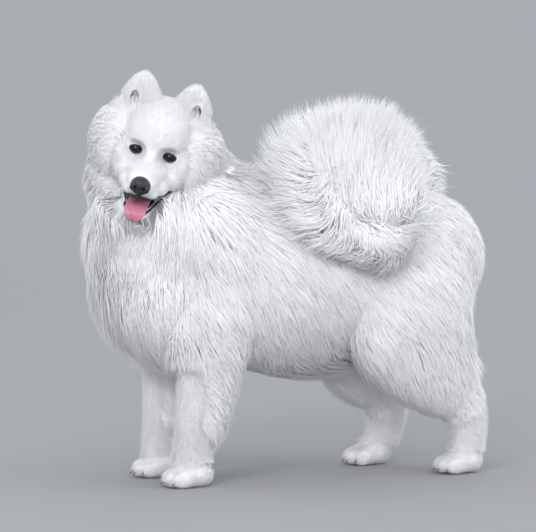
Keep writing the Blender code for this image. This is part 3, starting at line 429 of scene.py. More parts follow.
def cord(points, radius, sides=12):
    """A round cord that follows a ring of points and runs into itself: each point plus the
    radius times the cosine outward plus the radius times the sine square to that."""
    ring = np.array(points, float)
    along = unit(np.roll(ring, -1, 0) - np.roll(ring, 1, 0))
    out = unit(ring - ring.mean(0))
    up = unit(np.cross(along, out))
    out = np.cross(up, along)
    turn = np.linspace(0, math.tau, sides, endpoint=False)
    body = ring[:, None] + radius * (
        out[:, None] * np.cos(turn)[None, :, None] + up[:, None] * np.sin(turn)[None, :, None]
    )
    k, j = np.arange(len(ring))[:, None], np.arange(sides)[None]
    here, ahead, turned = k * sides, ((k + 1) % len(ring)) * sides, (j + 1) % sides
    quads = np.stack([here + j, here + turned, ahead + turned, ahead + j], -1).reshape(-1, 4)
    return body.reshape(-1, 3), quads, np.zeros((0, 3), int)


def moved(stations, back):
    """The stations, farther back."""
    return tuple((s[0], s[1] + back) + tuple(s[2:]) for s in stations)


def mirrored(stations):
    """The stations of the other side."""
    return tuple((-s[0],) + tuple(s[1:]) for s in stations)


def slimmer(stations, by):
    """The stations with less fur round them."""
    return tuple(s[:3] + (s[3] - by, s[4] - by) for s in stations)


def sided(place, side):
    """The place, moved to the right side where the side is minus one."""
    return (side * place[0],) + tuple(place[1:])


def both_sides(points):
    """A line from the left side to the middle, carried on to the right side."""
    left = [tuple(p) for p in points]
    return left + [(-p[0], p[1], p[2]) for p in reversed(left[:-1])]


def in_head(points):
    """Places of the head's frame, told in the dog's frame."""
    return np.asarray(points, float) @ HEAD[:3, :3].T + HEAD[:3, 3]


def to_head(points):
    """Places of the dog's frame, told in the head's frame."""
    return np.asarray(points, float) @ HEAD_BACK[:3, :3].T + HEAD_BACK[:3, 3]


def linked(thing):
    """The new thing, put into the scene."""
    bpy.context.scene.collection.objects.link(thing)
    return thing


def mesh_of(name, shapes):
    """One object that holds all the shapes, with its place in its points."""
    points, quads, thirds, first = [], [], [], 0
    for p, q, t in shapes:
        points.append(p)
        quads.append(np.asarray(q).reshape(-1, 4) + first)
        thirds.append(np.asarray(t).reshape(-1, 3) + first)
        first += len(p)
    points = np.vstack(points)
    quads = np.vstack(quads).astype(np.int32)
    thirds = np.vstack(thirds).astype(np.int32)
    mesh = bpy.data.meshes.new(name)
    mesh.vertices.add(len(points))
    mesh.vertices.foreach_set("co", points.astype(np.float32).ravel())
    mesh.loops.add(quads.size + thirds.size)
    corners = np.concatenate([quads.ravel(), thirds.ravel()])
    mesh.loops.foreach_set("vertex_index", corners)
    mesh.polygons.add(len(quads) + len(thirds))
    starts = np.concatenate([
        np.arange(len(quads)) * 4, quads.size + np.arange(len(thirds)) * 3,
    ])
    mesh.polygons.foreach_set("loop_start", starts.astype(np.int32))
    mesh.update(calc_edges=True)
    mesh.validate()
    mesh.shade_smooth()
    return linked(bpy.data.objects.new(name, mesh))


def finished(piece):
    """Gives the piece the mesh that its modifiers make."""
    graph = bpy.context.evaluated_depsgraph_get()
    mesh = bpy.data.meshes.new_from_object(piece.evaluated_get(graph))
    mesh.name = piece.name
    piece.modifiers.clear()
    piece.data = mesh
    mesh.shade_smooth()
    return piece


def melted(piece, voxel, smooth):
    """Overlapping shells become one soft skin."""
    melt = piece.modifiers.new("melt", "REMESH")
    melt.mode = "VOXEL"
    melt.voxel_size = voxel
    soften = piece.modifiers.new("soften", "SMOOTH")
    soften.factor = 0.5
    soften.iterations = smooth
    return finished(piece)


def boolean(piece, other, way):
    """Cuts the other shape out of the piece or joins it on, and drops the other."""
    work = piece.modifiers.new("work", "BOOLEAN")
    work.operation = way
    work.object = other
    work.solver = "MANIFOLD"
    finished(piece)
    bpy.data.objects.remove(other)
    return piece


def coordinates(mesh):
    """The mesh's points as rows."""
    out = np.empty(len(mesh.vertices) * 3, np.float32)
    mesh.vertices.foreach_get("co", out)
    return out.reshape(-1, 3).astype(float)


def put_points(piece, points):
    """Moves the piece's points to these rows."""
    piece.data.vertices.foreach_set("co", points.astype(np.float32).ravel())
    piece.data.update()


def step(low, high, value):
    """Zero before low, one past high, and a smooth cubic between them."""
    t = np.clip((value - low) / (high - low), 0, 1)
    return t * t * (3 - 2 * t)


def to_curve(points, curve):
    """The distance from each point to the nearest of a curve's points."""
    return np.sqrt(((points[:, None] - np.asarray(curve)[None]) ** 2).sum(-1)).min(1)


# Skin
def curl_rows():
    """The tail's stations, worked out from its turns round the hub."""
    rows = []
    for angle, x, radius, side, deep, reach in CURL:
        a = math.radians(angle)
        place = CURL_HUB + (x, radius * math.cos(a), radius * math.sin(a))
        rows.append(tuple(place) + (side, deep, angle, reach))
    return rows


FORELEGS = (FORELEG, moved(mirrored(FORELEG), RIGHT_FORE_BACK))
LEGS = FORELEGS + (LEFT_HINDLEG, RIGHT_HINDLEG)
TAIL_ROWS = curl_rows()
MOUTH_EDGE = np.vstack([smooth_rows(UPPER_LIP, 16), smooth_rows(LOWER_LIP, 16)])


def less(radii, by):
    """Each radius, less by the same depth."""
    return tuple(r - by for r in radii)


# How far apart the toes under the fur are, as a share of the way between those of the solids
TOE_SPREAD = 0.93


def paw_shapes(paw):
    """A paw: its pad and four toes side by side, slimmer than the solids by the fur there."""
    x, y = paw
    shapes = [ball((x, y + 0.010, 0.026), (0.033, 0.038, 0.028))]
    for across, back in TOES:
        place = (x + across * TOE_SPREAD, y - 0.026 + back, 0.0175)
        shapes.append(ball(place, (0.0105, 0.022, 0.0165)))
    return shapes


def body_skin():
    """Trunk, neck, legs, paws and tail, melted into one skin."""
    shapes = [tube(TRUNK), tube(NECK), ball(*CHEST)]
    for side in (1, -1):
        place, radii = SHOULDER
        shapes.append(ball(sided(place, side), radii, (0, side * 8, 0)))
    for leg in LEGS:
        shapes.append(tube(slimmer(leg, LEG_FUR)))
    for paw in PAWS:
        shapes += paw_shapes(paw)
    tail = [row[:3] + (row[3] * TAIL_SHARE, row[4] * TAIL_SHARE) for row in TAIL_ROWS]
    shapes.append(tube(tail, side=(0.9, -0.2, 0.2), count=70, sides=24))
    shapes += [ball(*heart) for heart in TAIL_HEARTS]
    return melted(mesh_of("body", shapes), *BODY_MELT)


def dented(points):
    """The face falls back round each eye and hugs it: a point is drawn back to a ball just
    outside the eye, or to that ball's edge farther out, by a share that fades with the reach."""
    hug = EYE_RADIUS + 0.0008
    for side in (1, -1):
        off = points - (side * EYE_APART, 0, 0)
        out = np.sqrt((off[:, 0] * 0.90) ** 2 + off[:, 2] ** 2)
        bed = EYE_BACK - np.sqrt(hug**2 - np.minimum(out, 0.92 * hug) ** 2)
        share = 1 - step(0.0100, 0.0260, out)
        front = points[:, 1] < bed
        points[:, 1] += np.where(front, (bed - points[:, 1]) * share, 0.0)
    return points


def ear_of(side):
    """The stations of the left ear or, where the side is minus one, of the right."""
    return EAR if side > 0 else mirrored(EAR)


def head_skin():
    """The head, melted into one skin, with the mouth, the ears' cups and the eyes' sockets cut
    out of it. An opening as wide as the lids leads into each socket."""
    shapes = [tube(slimmer(MUZZLE, FACE_FUR * 0.7)), tube(slimmer(JAW, FACE_FUR * 0.5))]
    for place, radii in HEAD_MASSES:
        shapes.append(ball(place, less(radii, FACE_FUR)))
    for side in (1, -1):
        for place, radii in HEAD_PAIRS:
            shapes.append(ball(sided(place, side), less(radii, FACE_FUR * 0.6)))
        shapes.append(tube(slimmer(ear_of(side), EAR_FUR), count=40))
    shapes.append(ball(*BRIDGE))
    head = melted(mesh_of("head", shapes), *HEAD_MELT)
    put_points(head, dented(coordinates(head.data)))
    boolean(head, mesh_of("hollow", [ball(*MOUTH, (8, 0, 0))]), "DIFFERENCE")
    for side in (1, -1):
        place, radii = EAR_CUP
        cup = ball(sided(place, side), radii, (-12, side * -6, 0))
        boolean(head, mesh_of("cup", [cup]), "DIFFERENCE")
        x = side * EYE_APART
        wide, tall = EYE_OPENING
        almond = tube((
            (x, EYE_BACK + 0.002, 0, wide, tall),
            (x, EYE_BACK - 0.026, 0, wide * 1.5, tall * 1.5),
        ))
        boolean(head, mesh_of("almond", [almond]), "DIFFERENCE")
        socket = ball((x, EYE_BACK, 0), (EYE_RADIUS + 0.0003,) * 3)
        boolean(head, mesh_of("socket", [socket]), "DIFFERENCE")
    put_points(head, in_head(coordinates(head.data)))
    return head


def skin_of_all():
    """The one skin of the dog, flat under its soles, in the model's frame."""
    skin = boolean(body_skin(), head_skin(), "UNION")
    skin.name = "skin"
    points = coordinates(skin.data)
    points[:, 2] = np.maximum(points[:, 2], SOLE_HEIGHT)
    put_points(skin, points + DOG_SHIFT)
    return skin


# The coat's lie and depth
# A square distance within which a guide counts about as much as at its own place
GUIDE_REACH = 0.0009


def weighed(places, values, spots):
    """The guides' values at each spot, where the nearer guides count the more: the weight is
    one over the square of the squared distance and a little."""
    places = np.array(places, float)
    values = np.array(values, float).reshape(len(places), -1)
    total = np.zeros((len(spots), values.shape[1]))
    weights = np.zeros((len(spots), 1))
    for place, value in zip(places, values):
        weight = 1.0 / (((spots - place) ** 2).sum(1, keepdims=True) + GUIDE_REACH) ** 2
        total += weight * value
        weights += weight
    return total / weights


def head_guides(table):
    """Guides of the head's frame, on both sides, told in the dog's frame: a place stays a
    place, a way is only turned, and a depth stays as it is."""
    places, values = [], []
    for place, value in table:
        for side in (1, -1):
            places.append(in_head(np.array(place) * (side, 1, 1)))
            if np.ndim(value):
                values.append(tuple(unit(HEAD[:3, :3] @ (np.array(value) * (side, 1, 1)))))
            else:
                values.append(value)
    return places, values


HEAD_PLACES, HEAD_WAYS = head_guides(HEAD_LIE)
LIE_PLACES = [place for place, _ in LIE] + HEAD_PLACES
LIE_WAYS = [tuple(unit(np.array(way))) for _, way in LIE] + HEAD_WAYS
HEAD_PLACES, HEAD_DEPTHS = head_guides(HEAD_DEPTH)
DEPTH_PLACES = [place for place, _ in DEPTH] + HEAD_PLACES
DEPTHS = [depth for _, depth in DEPTH] + HEAD_DEPTHS


def axis_of(stations):
    """The middle line of a limb, and how thick it is along it."""
    rows = smooth_rows([s[:5] for s in stations], 60)
    return rows[:, :3], np.sqrt(rows[:, 3] * rows[:, 4])


# From the back of the skull to the tip of the muzzle: a middle and how thick the head is there
HEAD_LINE = (
    (0, 0.085, 0.020, 0.085),
    (0, 0.030, 0.000, 0.080),
    (0, -0.030, -0.050, 0.045),
    (0, -0.100, -0.060, 0.030),
)


def head_axis():
    """The middle line of the head, and how thick it is along it."""
    rows = smooth_rows(HEAD_LINE, 40)
    return in_head(rows[:, :3]), rows[:, 3]


def ear_axis(side):
    """The middle line of an ear above the skull, and how thick it is along it."""
    rows = smooth_rows(ear_of(side), 30)[8:]
    return in_head(rows[:, :3]), np.sqrt(rows[:, 3] * rows[:, 4])


# The parts of the coat, each with the line that tells how far along it a spot is
KINDS = (
    "trunk", "neck", "foreleg_left", "foreleg_right", "hindleg_left", "hindleg_right",
    "tail", "head", "ear_left", "ear_right",
)
AXES = [
    axis_of(TRUNK), axis_of(NECK), axis_of(FORELEGS[0][1:]), axis_of(FORELEGS[1][1:]),
    axis_of(LEFT_HINDLEG[2:]), axis_of(RIGHT_HINDLEG[2:]), axis_of(TAIL_ROWS),
    head_axis(), ear_axis(1), ear_axis(-1),
]
LEG_KINDS, TAIL_KIND, HEAD_KIND, EAR_KINDS = (2, 3, 4, 5), 6, 7, (8, 9)


def in_heart(spots):
    """If a spot lies on the mass of hair that fills the tail's curl, over the back."""
    over = spots[:, 2] > HEART_HEIGHT - HEART_FALL * (spots[:, 0] - HEART_PLACE)
    inside = np.zeros(len(spots), bool)
    for place, radii in TAIL_HEARTS:
        off = (spots - place) / (np.array(radii) * HEART_REACH)
        inside |= ((off**2).sum(1) < 1) & over
    return inside


# How much farther off the tail counts, so that it takes no hair of the back
TAIL_HELD_BACK = 1.15


def kinds_at(spots):
    """Which part each spot belongs to, and how far along that part's line it is. It is the
    part whose line is nearest, measured by how thick the part is there."""
    scores, stations = [], []
    for middle, radius in AXES:
        far = np.sqrt(((spots[:, None] - middle[None]) ** 2).sum(-1)) / radius[None]
        stations.append(far.argmin(1) / (len(middle) - 1))
        scores.append(far.min(1))
    scores = np.array(scores)
    scores[TAIL_KIND] /= TAIL_SHARE
    scores[TAIL_KIND] *= TAIL_HELD_BACK
    scores[TAIL_KIND][in_heart(spots)] = 0.0
    kind = scores.argmin(0)
    return kind, np.array(stations)[kind, np.arange(len(spots))]


# How far right the black edge of the lips runs before fur hides it, the black round the nose
# with its shape, and how much wider than the mouth's hollow the black in it reaches
LIPS_END = -0.034
NOSE_MARK = ((0, -0.099, -0.046), (1.15, 1, 1))
MOUTH_MARK = (1.12, 1.05, 1.25)


def dark_at(local):
    """How black the skin is: near the edges of lips and lids, round the nose, in the mouth's
    hollow and in the eyes' sockets. Each fades out over a short way."""
    edges = [smooth_rows(both_sides(half), 60) for half in (UPPER_LIP, LOWER_LIP)]
    lips = np.vstack(edges)
    lips = lips[lips[:, 0] > LIPS_END]
    dark = 1 - step(0.0030, 0.0050, to_curve(local, lips))
    place, shape = NOSE_MARK
    nose = np.sqrt(((local - place) ** 2 / shape).sum(1))
    dark = np.maximum(dark, 1 - step(0.018, 0.021, nose))
    place, radii = MOUTH
    inside = np.sqrt((((local - place) / (np.array(radii) * MOUTH_MARK)) ** 2).sum(1))
    dark = np.maximum(dark, 1 - step(0.98, 1.05, inside))
    for side in (1, -1):
        dark = np.maximum(dark, 1 - step(0.0022, 0.0036, to_curve(local, lid_curve(side))))
        reach = np.linalg.norm(local - (side * EYE_APART, EYE_BACK, 0), axis=1)
        dark = np.maximum(dark, 1 - step(EYE_RADIUS + 0.0005, EYE_RADIUS + 0.0007, reach))
    return dark


def in_socket(local):
    """If a spot of the skin is inside an eye's socket or at its lids, where no hair grows."""
    bare = EYE_RADIUS + 0.0020
    inside = np.zeros(len(local), bool)
    for side in (1, -1):
        inside |= np.linalg.norm(local - (side * EYE_APART, EYE_BACK, 0), axis=1) < bare
    return inside


def folded(local):
    """The spots, with those of the right side told as if on the left."""
    return np.abs(local * (1, 0, 0)) + local * (0, 1, 1)


def cup_at(local):
    """How far inside the cup of an ear a spot is."""
    place, radii = EAR_CUP
    reach = np.sqrt((((folded(local) - place) / (np.array(radii) * 1.04)) ** 2).sum(1))
    return 1 - step(0.95, 1.06, reach)


def on_skin(skin, spots, lift=0.0):
    """Each spot drawn to the nearest place on the skin, or to that height over it."""
    mesh = bpy.data.meshes.new("spots")
    mesh.vertices.add(len(spots))
    mesh.vertices.foreach_set("co", (spots + DOG_SHIFT).astype(np.float32).ravel())
    cloud = linked(bpy.data.objects.new("spots", mesh))
    draw_in = cloud.modifiers.new("draw in", "SHRINKWRAP")
    draw_in.target = skin
    draw_in.wrap_method = "NEAREST_SURFACEPOINT"
    draw_in.wrap_mode = "ABOVE_SURFACE" if lift else "ON_SURFACE"
    draw_in.offset = lift
    graph = bpy.context.evaluated_depsgraph_get()
    out = coordinates(cloud.evaluated_get(graph).to_mesh()) - DOG_SHIFT
    bpy.data.objects.remove(cloud)
    return out


# Large numbers that scramble a cube's place into the random numbers of its lock
CUBE_KEYS = (73856093, 19349663, 83492791)
PLACE_KEYS = (7919, 104729, 15485863)
CHANCE_KEYS = (6151, 12289, 24593, 49157)


def scrambled(number, keys, shift):
    """A row of numbers from 0 to 1 for each number: the number times each key, shifted down,
    and what is left over a thousand."""
    return np.stack([((number * key) >> shift) % 1000 / 1000.0 for key in keys], -1)


def nearest_cell(spots, size, seed):
    """Lock centres: space is cut into cubes, each with one random centre, and each spot takes
    the nearest. Returns that centre and the lock's own random numbers."""
    cell = np.floor(spots / size).astype(np.int64)
    best = np.full(len(spots), 1e9)
    centre = np.zeros_like(spots)
    number = np.zeros(len(spots), np.int64)
    for dx, dy, dz in itertools.product((-1, 0, 1), repeat=3):
        c = cell + (dx, dy, dz)
        keyed = c * CUBE_KEYS
        key = keyed[:, 0] ^ keyed[:, 1] ^ keyed[:, 2] ^ seed
        spot = (c + scrambled(key, PLACE_KEYS, 7)) * size
        far = ((spot - spots) ** 2).sum(1)
        closer = far < best
        best[closer] = far[closer]
        centre[closer] = spot[closer]
        number[closer] = key[closer]
    return centre, scrambled(number, CHANCE_KEYS, 9)


# The coat of each part: tufts to a square centimetre, half a tuft's width, its length, how far
# its tip stands out, and the size of the locks
PAW_COAT = (34.0, 0.0009, 0.016, 0.0065, 0.014)
TAIL_COAT = (24.0, 0.0011, 0.070, 0.0, 0.020)
# How high a paw's coat reaches, and how high its hair points forward
PAW_HEIGHT = 0.050
PAW_WAY_HEIGHT = 0.055


def body_coat(depth):
    """The long coat of trunk and neck. It lies at a slant, so it is longer than it is deep."""
    return 12.5, 0.00125, 0.038 + 1.05 * depth, 0.95 * depth, 0.024


def leg_coat(depth, height):
    """The short coat of a leg, with longer hair at its back, finer and closer to the paw."""
    low = step(0.30, 0.08, height)
    back = step(0.014, 0.034, depth)
    cuff = 1 - 0.45 * step(0.150, 0.060, height)
    length = (0.017 + 0.045 * back * (1 - 0.6 * low)) * cuff
    stand = np.minimum(depth, 0.009 + 0.030 * back) * cuff
    return 20.0 + 12.0 * low - 9.0 * back, 0.0010 - 0.0002 * low, length, stand, 0.014


def face_coat(depth, local):
    """The coat of the head: short at the muzzle and round the eyes and the mouth, longer to the
    cheeks and the skull, and longest in the ruff behind the cheeks and under the chin."""
    x, y, z = np.abs(local[:, 0]), local[:, 1], local[:, 2]
    # The ruff stands beside and behind the head, less on its top, and under the chin
    ruff = np.maximum(step(0.040, 0.088, x) * step(-0.015, 0.040, y), step(0.075, 0.120, y))
    ruff *= 1 - 0.85 * step(0.055, 0.095, z)
    ruff = np.maximum(ruff, step(-0.010, 0.045, y) * step(-0.060, -0.095, z))
    cheek = step(0.020, 0.070, x) * step(-0.030, 0.020, y)
    brow = step(-0.030, 0.060, y)
    eye = np.sqrt((x - EYE_APART) ** 2 + (y - EYE_BACK) ** 2 + z**2)
    clear = step(0.012, 0.034, eye) * step(0.004, 0.022, to_curve(folded(local), MOUTH_EDGE))
    dense = 62.0 - 32.0 * ruff - 10.0 * brow * (1 - ruff)
    half = 0.0007 + 0.0002 * ruff + 0.0001 * brow
    length = (0.008 + 0.008 * brow + 0.010 * cheek) * (0.35 + 0.65 * clear) + 0.052 * ruff
    stand = (0.0030 + 0.0040 * brow + 0.004 * cheek) * (0.3 + 0.7 * clear)
    stand += 0.75 * ruff**1.3 * np.minimum(depth, 0.07)
    return dense, half, length, stand, 0.010 + 0.010 * ruff


def ear_coat(local):
    """The close coat of an ear, a little longer at its base."""
    base = 1 - step(0.055, 0.105, local[:, 2])
    return 44.0, 0.0008 + 0.0001 * base, 0.015 + 0.008 * base, 0.0048 + 0.005 * base, 0.010


def coat_sizes(kind, spots, local):
    """For each root: tufts to a square centimetre, half a tuft's width, its length, how far
    its tip stands out, the size of the locks there, and if the tuft is a short straight one."""
    depth = weighed(DEPTH_PLACES, DEPTHS, spots)[:, 0]
    height = spots[:, 2]
    on_leg = np.isin(kind, LEG_KINDS)
    sizes = [np.zeros(len(spots)) + size for size in body_coat(depth)]
    for here, new in (
        (on_leg, leg_coat(depth, height)),
        (on_leg & (height < PAW_HEIGHT), PAW_COAT),
        (kind == HEAD_KIND, face_coat(depth, local)),
        (np.isin(kind, EAR_KINDS), ear_coat(local)),
        (kind == TAIL_KIND, TAIL_COAT),
    ):
        sizes = [np.where(here, a, b) for a, b in zip(new, sizes)]
    return *sizes, sizes[2] < SHORT_LENGTH


# Ways of the hair: up the ears, and forward on the paws
EAR_WAY = (0, 0.25, 1.0)
PAW_WAY = (0, -0.8, -0.6)


def way_at(kind, spots, local):
    """The way that the hair points: away from the nose on the face, up the ears, forward on
    the paws, and by the guides elsewhere."""
    way = unit(weighed(LIE_PLACES, LIE_WAYS, spots))
    from_nose = unit(local - NOSE_TIP) @ HEAD[:3, :3].T
    x, y = np.abs(local[:, 0]), local[:, 1]
    guided = np.maximum(step(0.055, 0.085, x), step(0.060, 0.110, y))[:, None]
    head = (kind == HEAD_KIND)[:, None]
    way = np.where(head, unit(from_nose * (1 - guided) + way * guided), way)
    ear_way = unit(np.array(EAR_WAY)) @ HEAD[:3, :3].T
    way = np.where(np.isin(kind, EAR_KINDS)[:, None], ear_way, way)
    paw = np.isin(kind, LEG_KINDS) & (spots[:, 2] < PAW_WAY_HEIGHT)
    return np.where(paw[:, None], unit(np.array(PAW_WAY)), way)


def scattered_roots(skin):
    """Random places on the skin. Each face gets them in number by its area and by the tufts
    that its place asks for, and a place in it is one corner plus random shares of two sides."""
    mesh = skin.data
    mesh.calc_loop_triangles()
    thirds = np.empty(len(mesh.loop_triangles) * 3, np.int32)
    mesh.loop_triangles.foreach_get("vertices", thirds)
    thirds = thirds.reshape(-1, 3)
    points = coordinates(mesh) - DOG_SHIFT
    a, b, c = points[thirds[:, 0]], points[thirds[:, 1]], points[thirds[:, 2]]
    square = np.cross(b - a, c - a)
    area = 0.5 * np.linalg.norm(square, axis=1)
    middle = (a + b + c) / 3
    local = to_head(middle)
    kind, _ = kinds_at(middle)
    dense, _, _, _, _, short = coat_sizes(kind, middle, local)
    near_head = np.isin(kind, (HEAD_KIND,) + EAR_KINDS)
    bare = np.where(near_head, np.maximum(dark_at(local), 0.75 * cup_at(local)), 0.0)
    bare[in_socket(local)] = 1.0
    sole = (middle[:, 2] < 0.006) & (unit(square)[:, 2] < -0.3)
    number = area * 1e4 * dense * (1 - bare) * (1 - sole)
    cost = (number * np.where(short, SHORT_TRIANGLES, TALL_TRIANGLES)).sum()
    total = number.sum()
    wanted = int(total * min(1.0, COAT_TRIANGLES / cost))
    chosen = draw.choice(len(number), size=wanted, p=number / total)
    u, v = draw.random((2, wanted))
    over = u + v > 1
    u[over], v[over] = 1 - u[over], 1 - v[over]
    u, v = u[:, None], v[:, None]
    return a[chosen] + (b[chosen] - a[chosen]) * u + (c[chosen] - a[chosen]) * v


# The cells of the skin's map, and a way that no part's line runs along
MAP_COLUMNS, MAP_ROWS = 4, 3
MAP_MARGIN = 0.04
MAP_SIDE = (0.12, 0.35, 0.93)


def lay_of(kind, station, spots):
    """The skin's own unwrap: each part has a cell of its own, with the way along its line
    across the cell and the turn round the line up it."""
    turn = np.zeros(len(spots))
    for k, (middle, _) in enumerate(AXES):
        of_this = kind == k
        index = (station[of_this] * (len(middle) - 1)).round().astype(int)
        along = unit(np.gradient(middle, axis=0))[index]
        off = spots[of_this] - middle[index]
        side = unit(np.cross(along, MAP_SIDE))
        up = np.cross(side, along)
        turn[of_this] = np.arctan2((off * up).sum(1), (off * side).sum(1)) / math.tau + 0.5
    shrink = 1 - 2 * MAP_MARGIN
    u = (kind % MAP_COLUMNS + MAP_MARGIN + shrink * station) / MAP_COLUMNS
    v = (kind // MAP_COLUMNS + MAP_MARGIN + shrink * turn) / MAP_ROWS
    return np.stack([u, v], -1)


# How far the tufts stray: a lock as a whole and a tuft of it to the side, how far a tuft draws
# in to the middle of its lock, the shares of its length that its two steps take, and how much
# of its rise it has at the middle
LOCK_STRAY = 0.34
TUFT_STRAY = 0.12
GATHERED = 0.14
TUFT_STEPS = (0.42, 0.58)
MIDDLE_RISE = 0.74


def tuft_rows(skin, roots, normal, way, length, rise, gather):
    """Root, middle and tip of each tuft, and the way out from the skin at each. From the root
    it goes along the skin by one share of its length and then the other, each time drawn back
    to the skin, and the middle and the tip are raised over it."""
    places, normals = [roots], [normal]
    for share in TUFT_STEPS:
        flat = unit(way - normals[-1] * (way * normals[-1]).sum(1, keepdims=True))
        ahead = places[-1] + flat * (length * share)[:, None]
        on = on_skin(skin, ahead)
        up = unit(on_skin(skin, ahead, PROBE_HEIGHT) - on)
        # Where the nearest skin is another part, the tuft keeps straight on
        slip = np.linalg.norm(on - ahead, axis=1) > 0.6 * length
        on[slip] = ahead[slip]
        up[slip] = normals[-1][slip]
        places.append(on)
        normals.append(unit(up + normals[-1] * 0.6))
    rows = np.stack([
        places[0] - normals[0] * ROOT_DEPTH,
        places[1] + normals[1] * (rise * MIDDLE_RISE)[:, None] + gather * 0.45,
        places[2] + normals[2] * rise[:, None] + gather,
    ], 1)
    return rows, np.stack(normals, 1)


def coat_of(skin):
    """All tufts of the coat, the tall and the short: for each its points, the ways that they
    are shaded by, its place in the map and its part. A tuft starts just under the skin,
    follows it along the lie of the hair, and rises till its tip stands as far out as the coat
    is deep there."""
    roots = scattered_roots(skin)
    local = to_head(roots)
    kind, station = kinds_at(roots)
    _, half, length, stand, lock, short = coat_sizes(kind, roots, local)
    n = len(roots)
    lifted = on_skin(skin, roots, PROBE_HEIGHT)
    normal = unit(lifted - on_skin(skin, roots))
    way = way_at(kind, roots, local)
    centre, chance = np.zeros((n, 3)), np.zeros((n, 4))
    for size in np.unique(np.round(lock, 3)):
        these = np.abs(lock - size) <= 0.0005
        centre[these], chance[these] = nearest_cell(roots[these], size, int(size * 1e4))
    # Every lock turns, stands and ends a little in its own way, and every tuft a little too
    sideways = unit(np.cross(way, normal))
    way = unit(way + sideways * ((chance[:, 1] - 0.5) * LOCK_STRAY)[:, None])
    way = unit(way + sideways * (draw.normal(0, TUFT_STRAY, n))[:, None])
    under = draw.random(n) ** 0.3
    rise = stand * (0.30 + 0.70 * under) * (0.90 + 0.12 * chance[:, 0])
    length = length * draw.uniform(0.80, 1.08, n) * (0.92 + 0.12 * chance[:, 2])
    gather = centre - roots
    gather -= normal * (gather * normal).sum(1, keepdims=True)
    gather *= (GATHERED * draw.uniform(0.4, 1.2, n))[:, None]

    rows, shade = tuft_rows(skin, roots, normal, way, length, rise, gather)
    tail = kind == TAIL_KIND
    rows[tail], shade[tail] = plume_rows(
        roots[tail], normal[tail], station[tail], chance[tail], gather[tail],
    )
    rows = within_reach(rows)

    lay = lay_of(kind, station, roots)
    return [
        (points[these] + DOG_SHIFT, unit(leans[these]), lay[these], kind[these])
        for these, (points, leans) in zip((~short, short), tuft_shapes(rows, shade, half, short))
    ]


def tuft_shapes(rows, shade, half, short):
    """The points of every tuft as a tall one and as a short one, and the ways that they are
    shaded by. A tall tuft is a spindle: its root, a ring of three round its middle, and its
    tip. A short one is a spike: a ring of three round its root, and its tip. A ring is the
    middle plus the half width to the one side, out from the skin, and to the other side."""
    n = len(rows)
    along = unit(np.diff(rows, axis=1))
    out = unit(shade[:, :2] - along * (shade[:, :2] * along).sum(-1, keepdims=True))
    across = np.cross(along, out)
    wide = np.stack([half * 0.8, half], 1) * draw.uniform(0.75, 1.2, n)[:, None]
    rings = np.stack([
        rows[:, :2] + across * wide[..., None],
        rows[:, :2] + out * (wide * 0.8)[..., None],
        rows[:, :2] - across * wide[..., None],
    ], 2)
    turned = np.where(short, SHORT_TURN, TUFT_TURN)[:, None, None]
    shade = unit(shade + draw.normal(0, 1, (n, 1, 3)) * turned)
    tilt = np.stack([across, np.zeros_like(across), -across], 2)
    tilt += shade[:, :2, None] * np.where(short, SHORT_FLAT, TUFT_FLAT)[:, None, None, None]
    tall = np.concatenate([rows[:, :1], rings[:, 1], rows[:, 2:]], 1)
    tall_leans = np.concatenate([shade[:, :1], tilt[:, 1], shade[:, 2:]], 1)
    short_points = np.concatenate([rings[:, 0], rows[:, 2:]], 1)
    short_leans = np.concatenate([tilt[:, 0], shade[:, 2:]], 1)
    for points in (tall, short_points):
        points[..., 2] = np.maximum(points[..., 2], FLOOR_ROOM)
    return (tall, tall_leans), (short_points, short_leans)


def within_reach(rows):
    """A tuft that would leave the solids' box by more than a little is drawn shorter: its rows
    come nearer to the root by the share of the way that has room."""
    low = np.array(cad_low) - DOG_SHIFT - BOX_ROOM
    high = np.array(cad_high) - DOG_SHIFT + BOX_ROOM
    low[2] = FLOOR_ROOM
    root, tip = rows[:, :1], rows[:, 2]
    share = np.ones(len(rows))
    for k in range(3):
        run = tip[:, k] - rows[:, 0, k]
        for bound, over in ((low[k], tip[:, k] < low[k]), (high[k], tip[:, k] > high[k])):
            room = (bound - rows[:, 0, k]) / np.where(np.abs(run) > 1e-6, run, 1e-6)
            share = np.where(over, np.minimum(share, np.clip(room, 0.05, 1.0)), share)
    return root + (rows - root) * share[:, None, None]


# The share of the hair in the tail's curl that strays from the fan
LOOSE_SHARE = 0.16


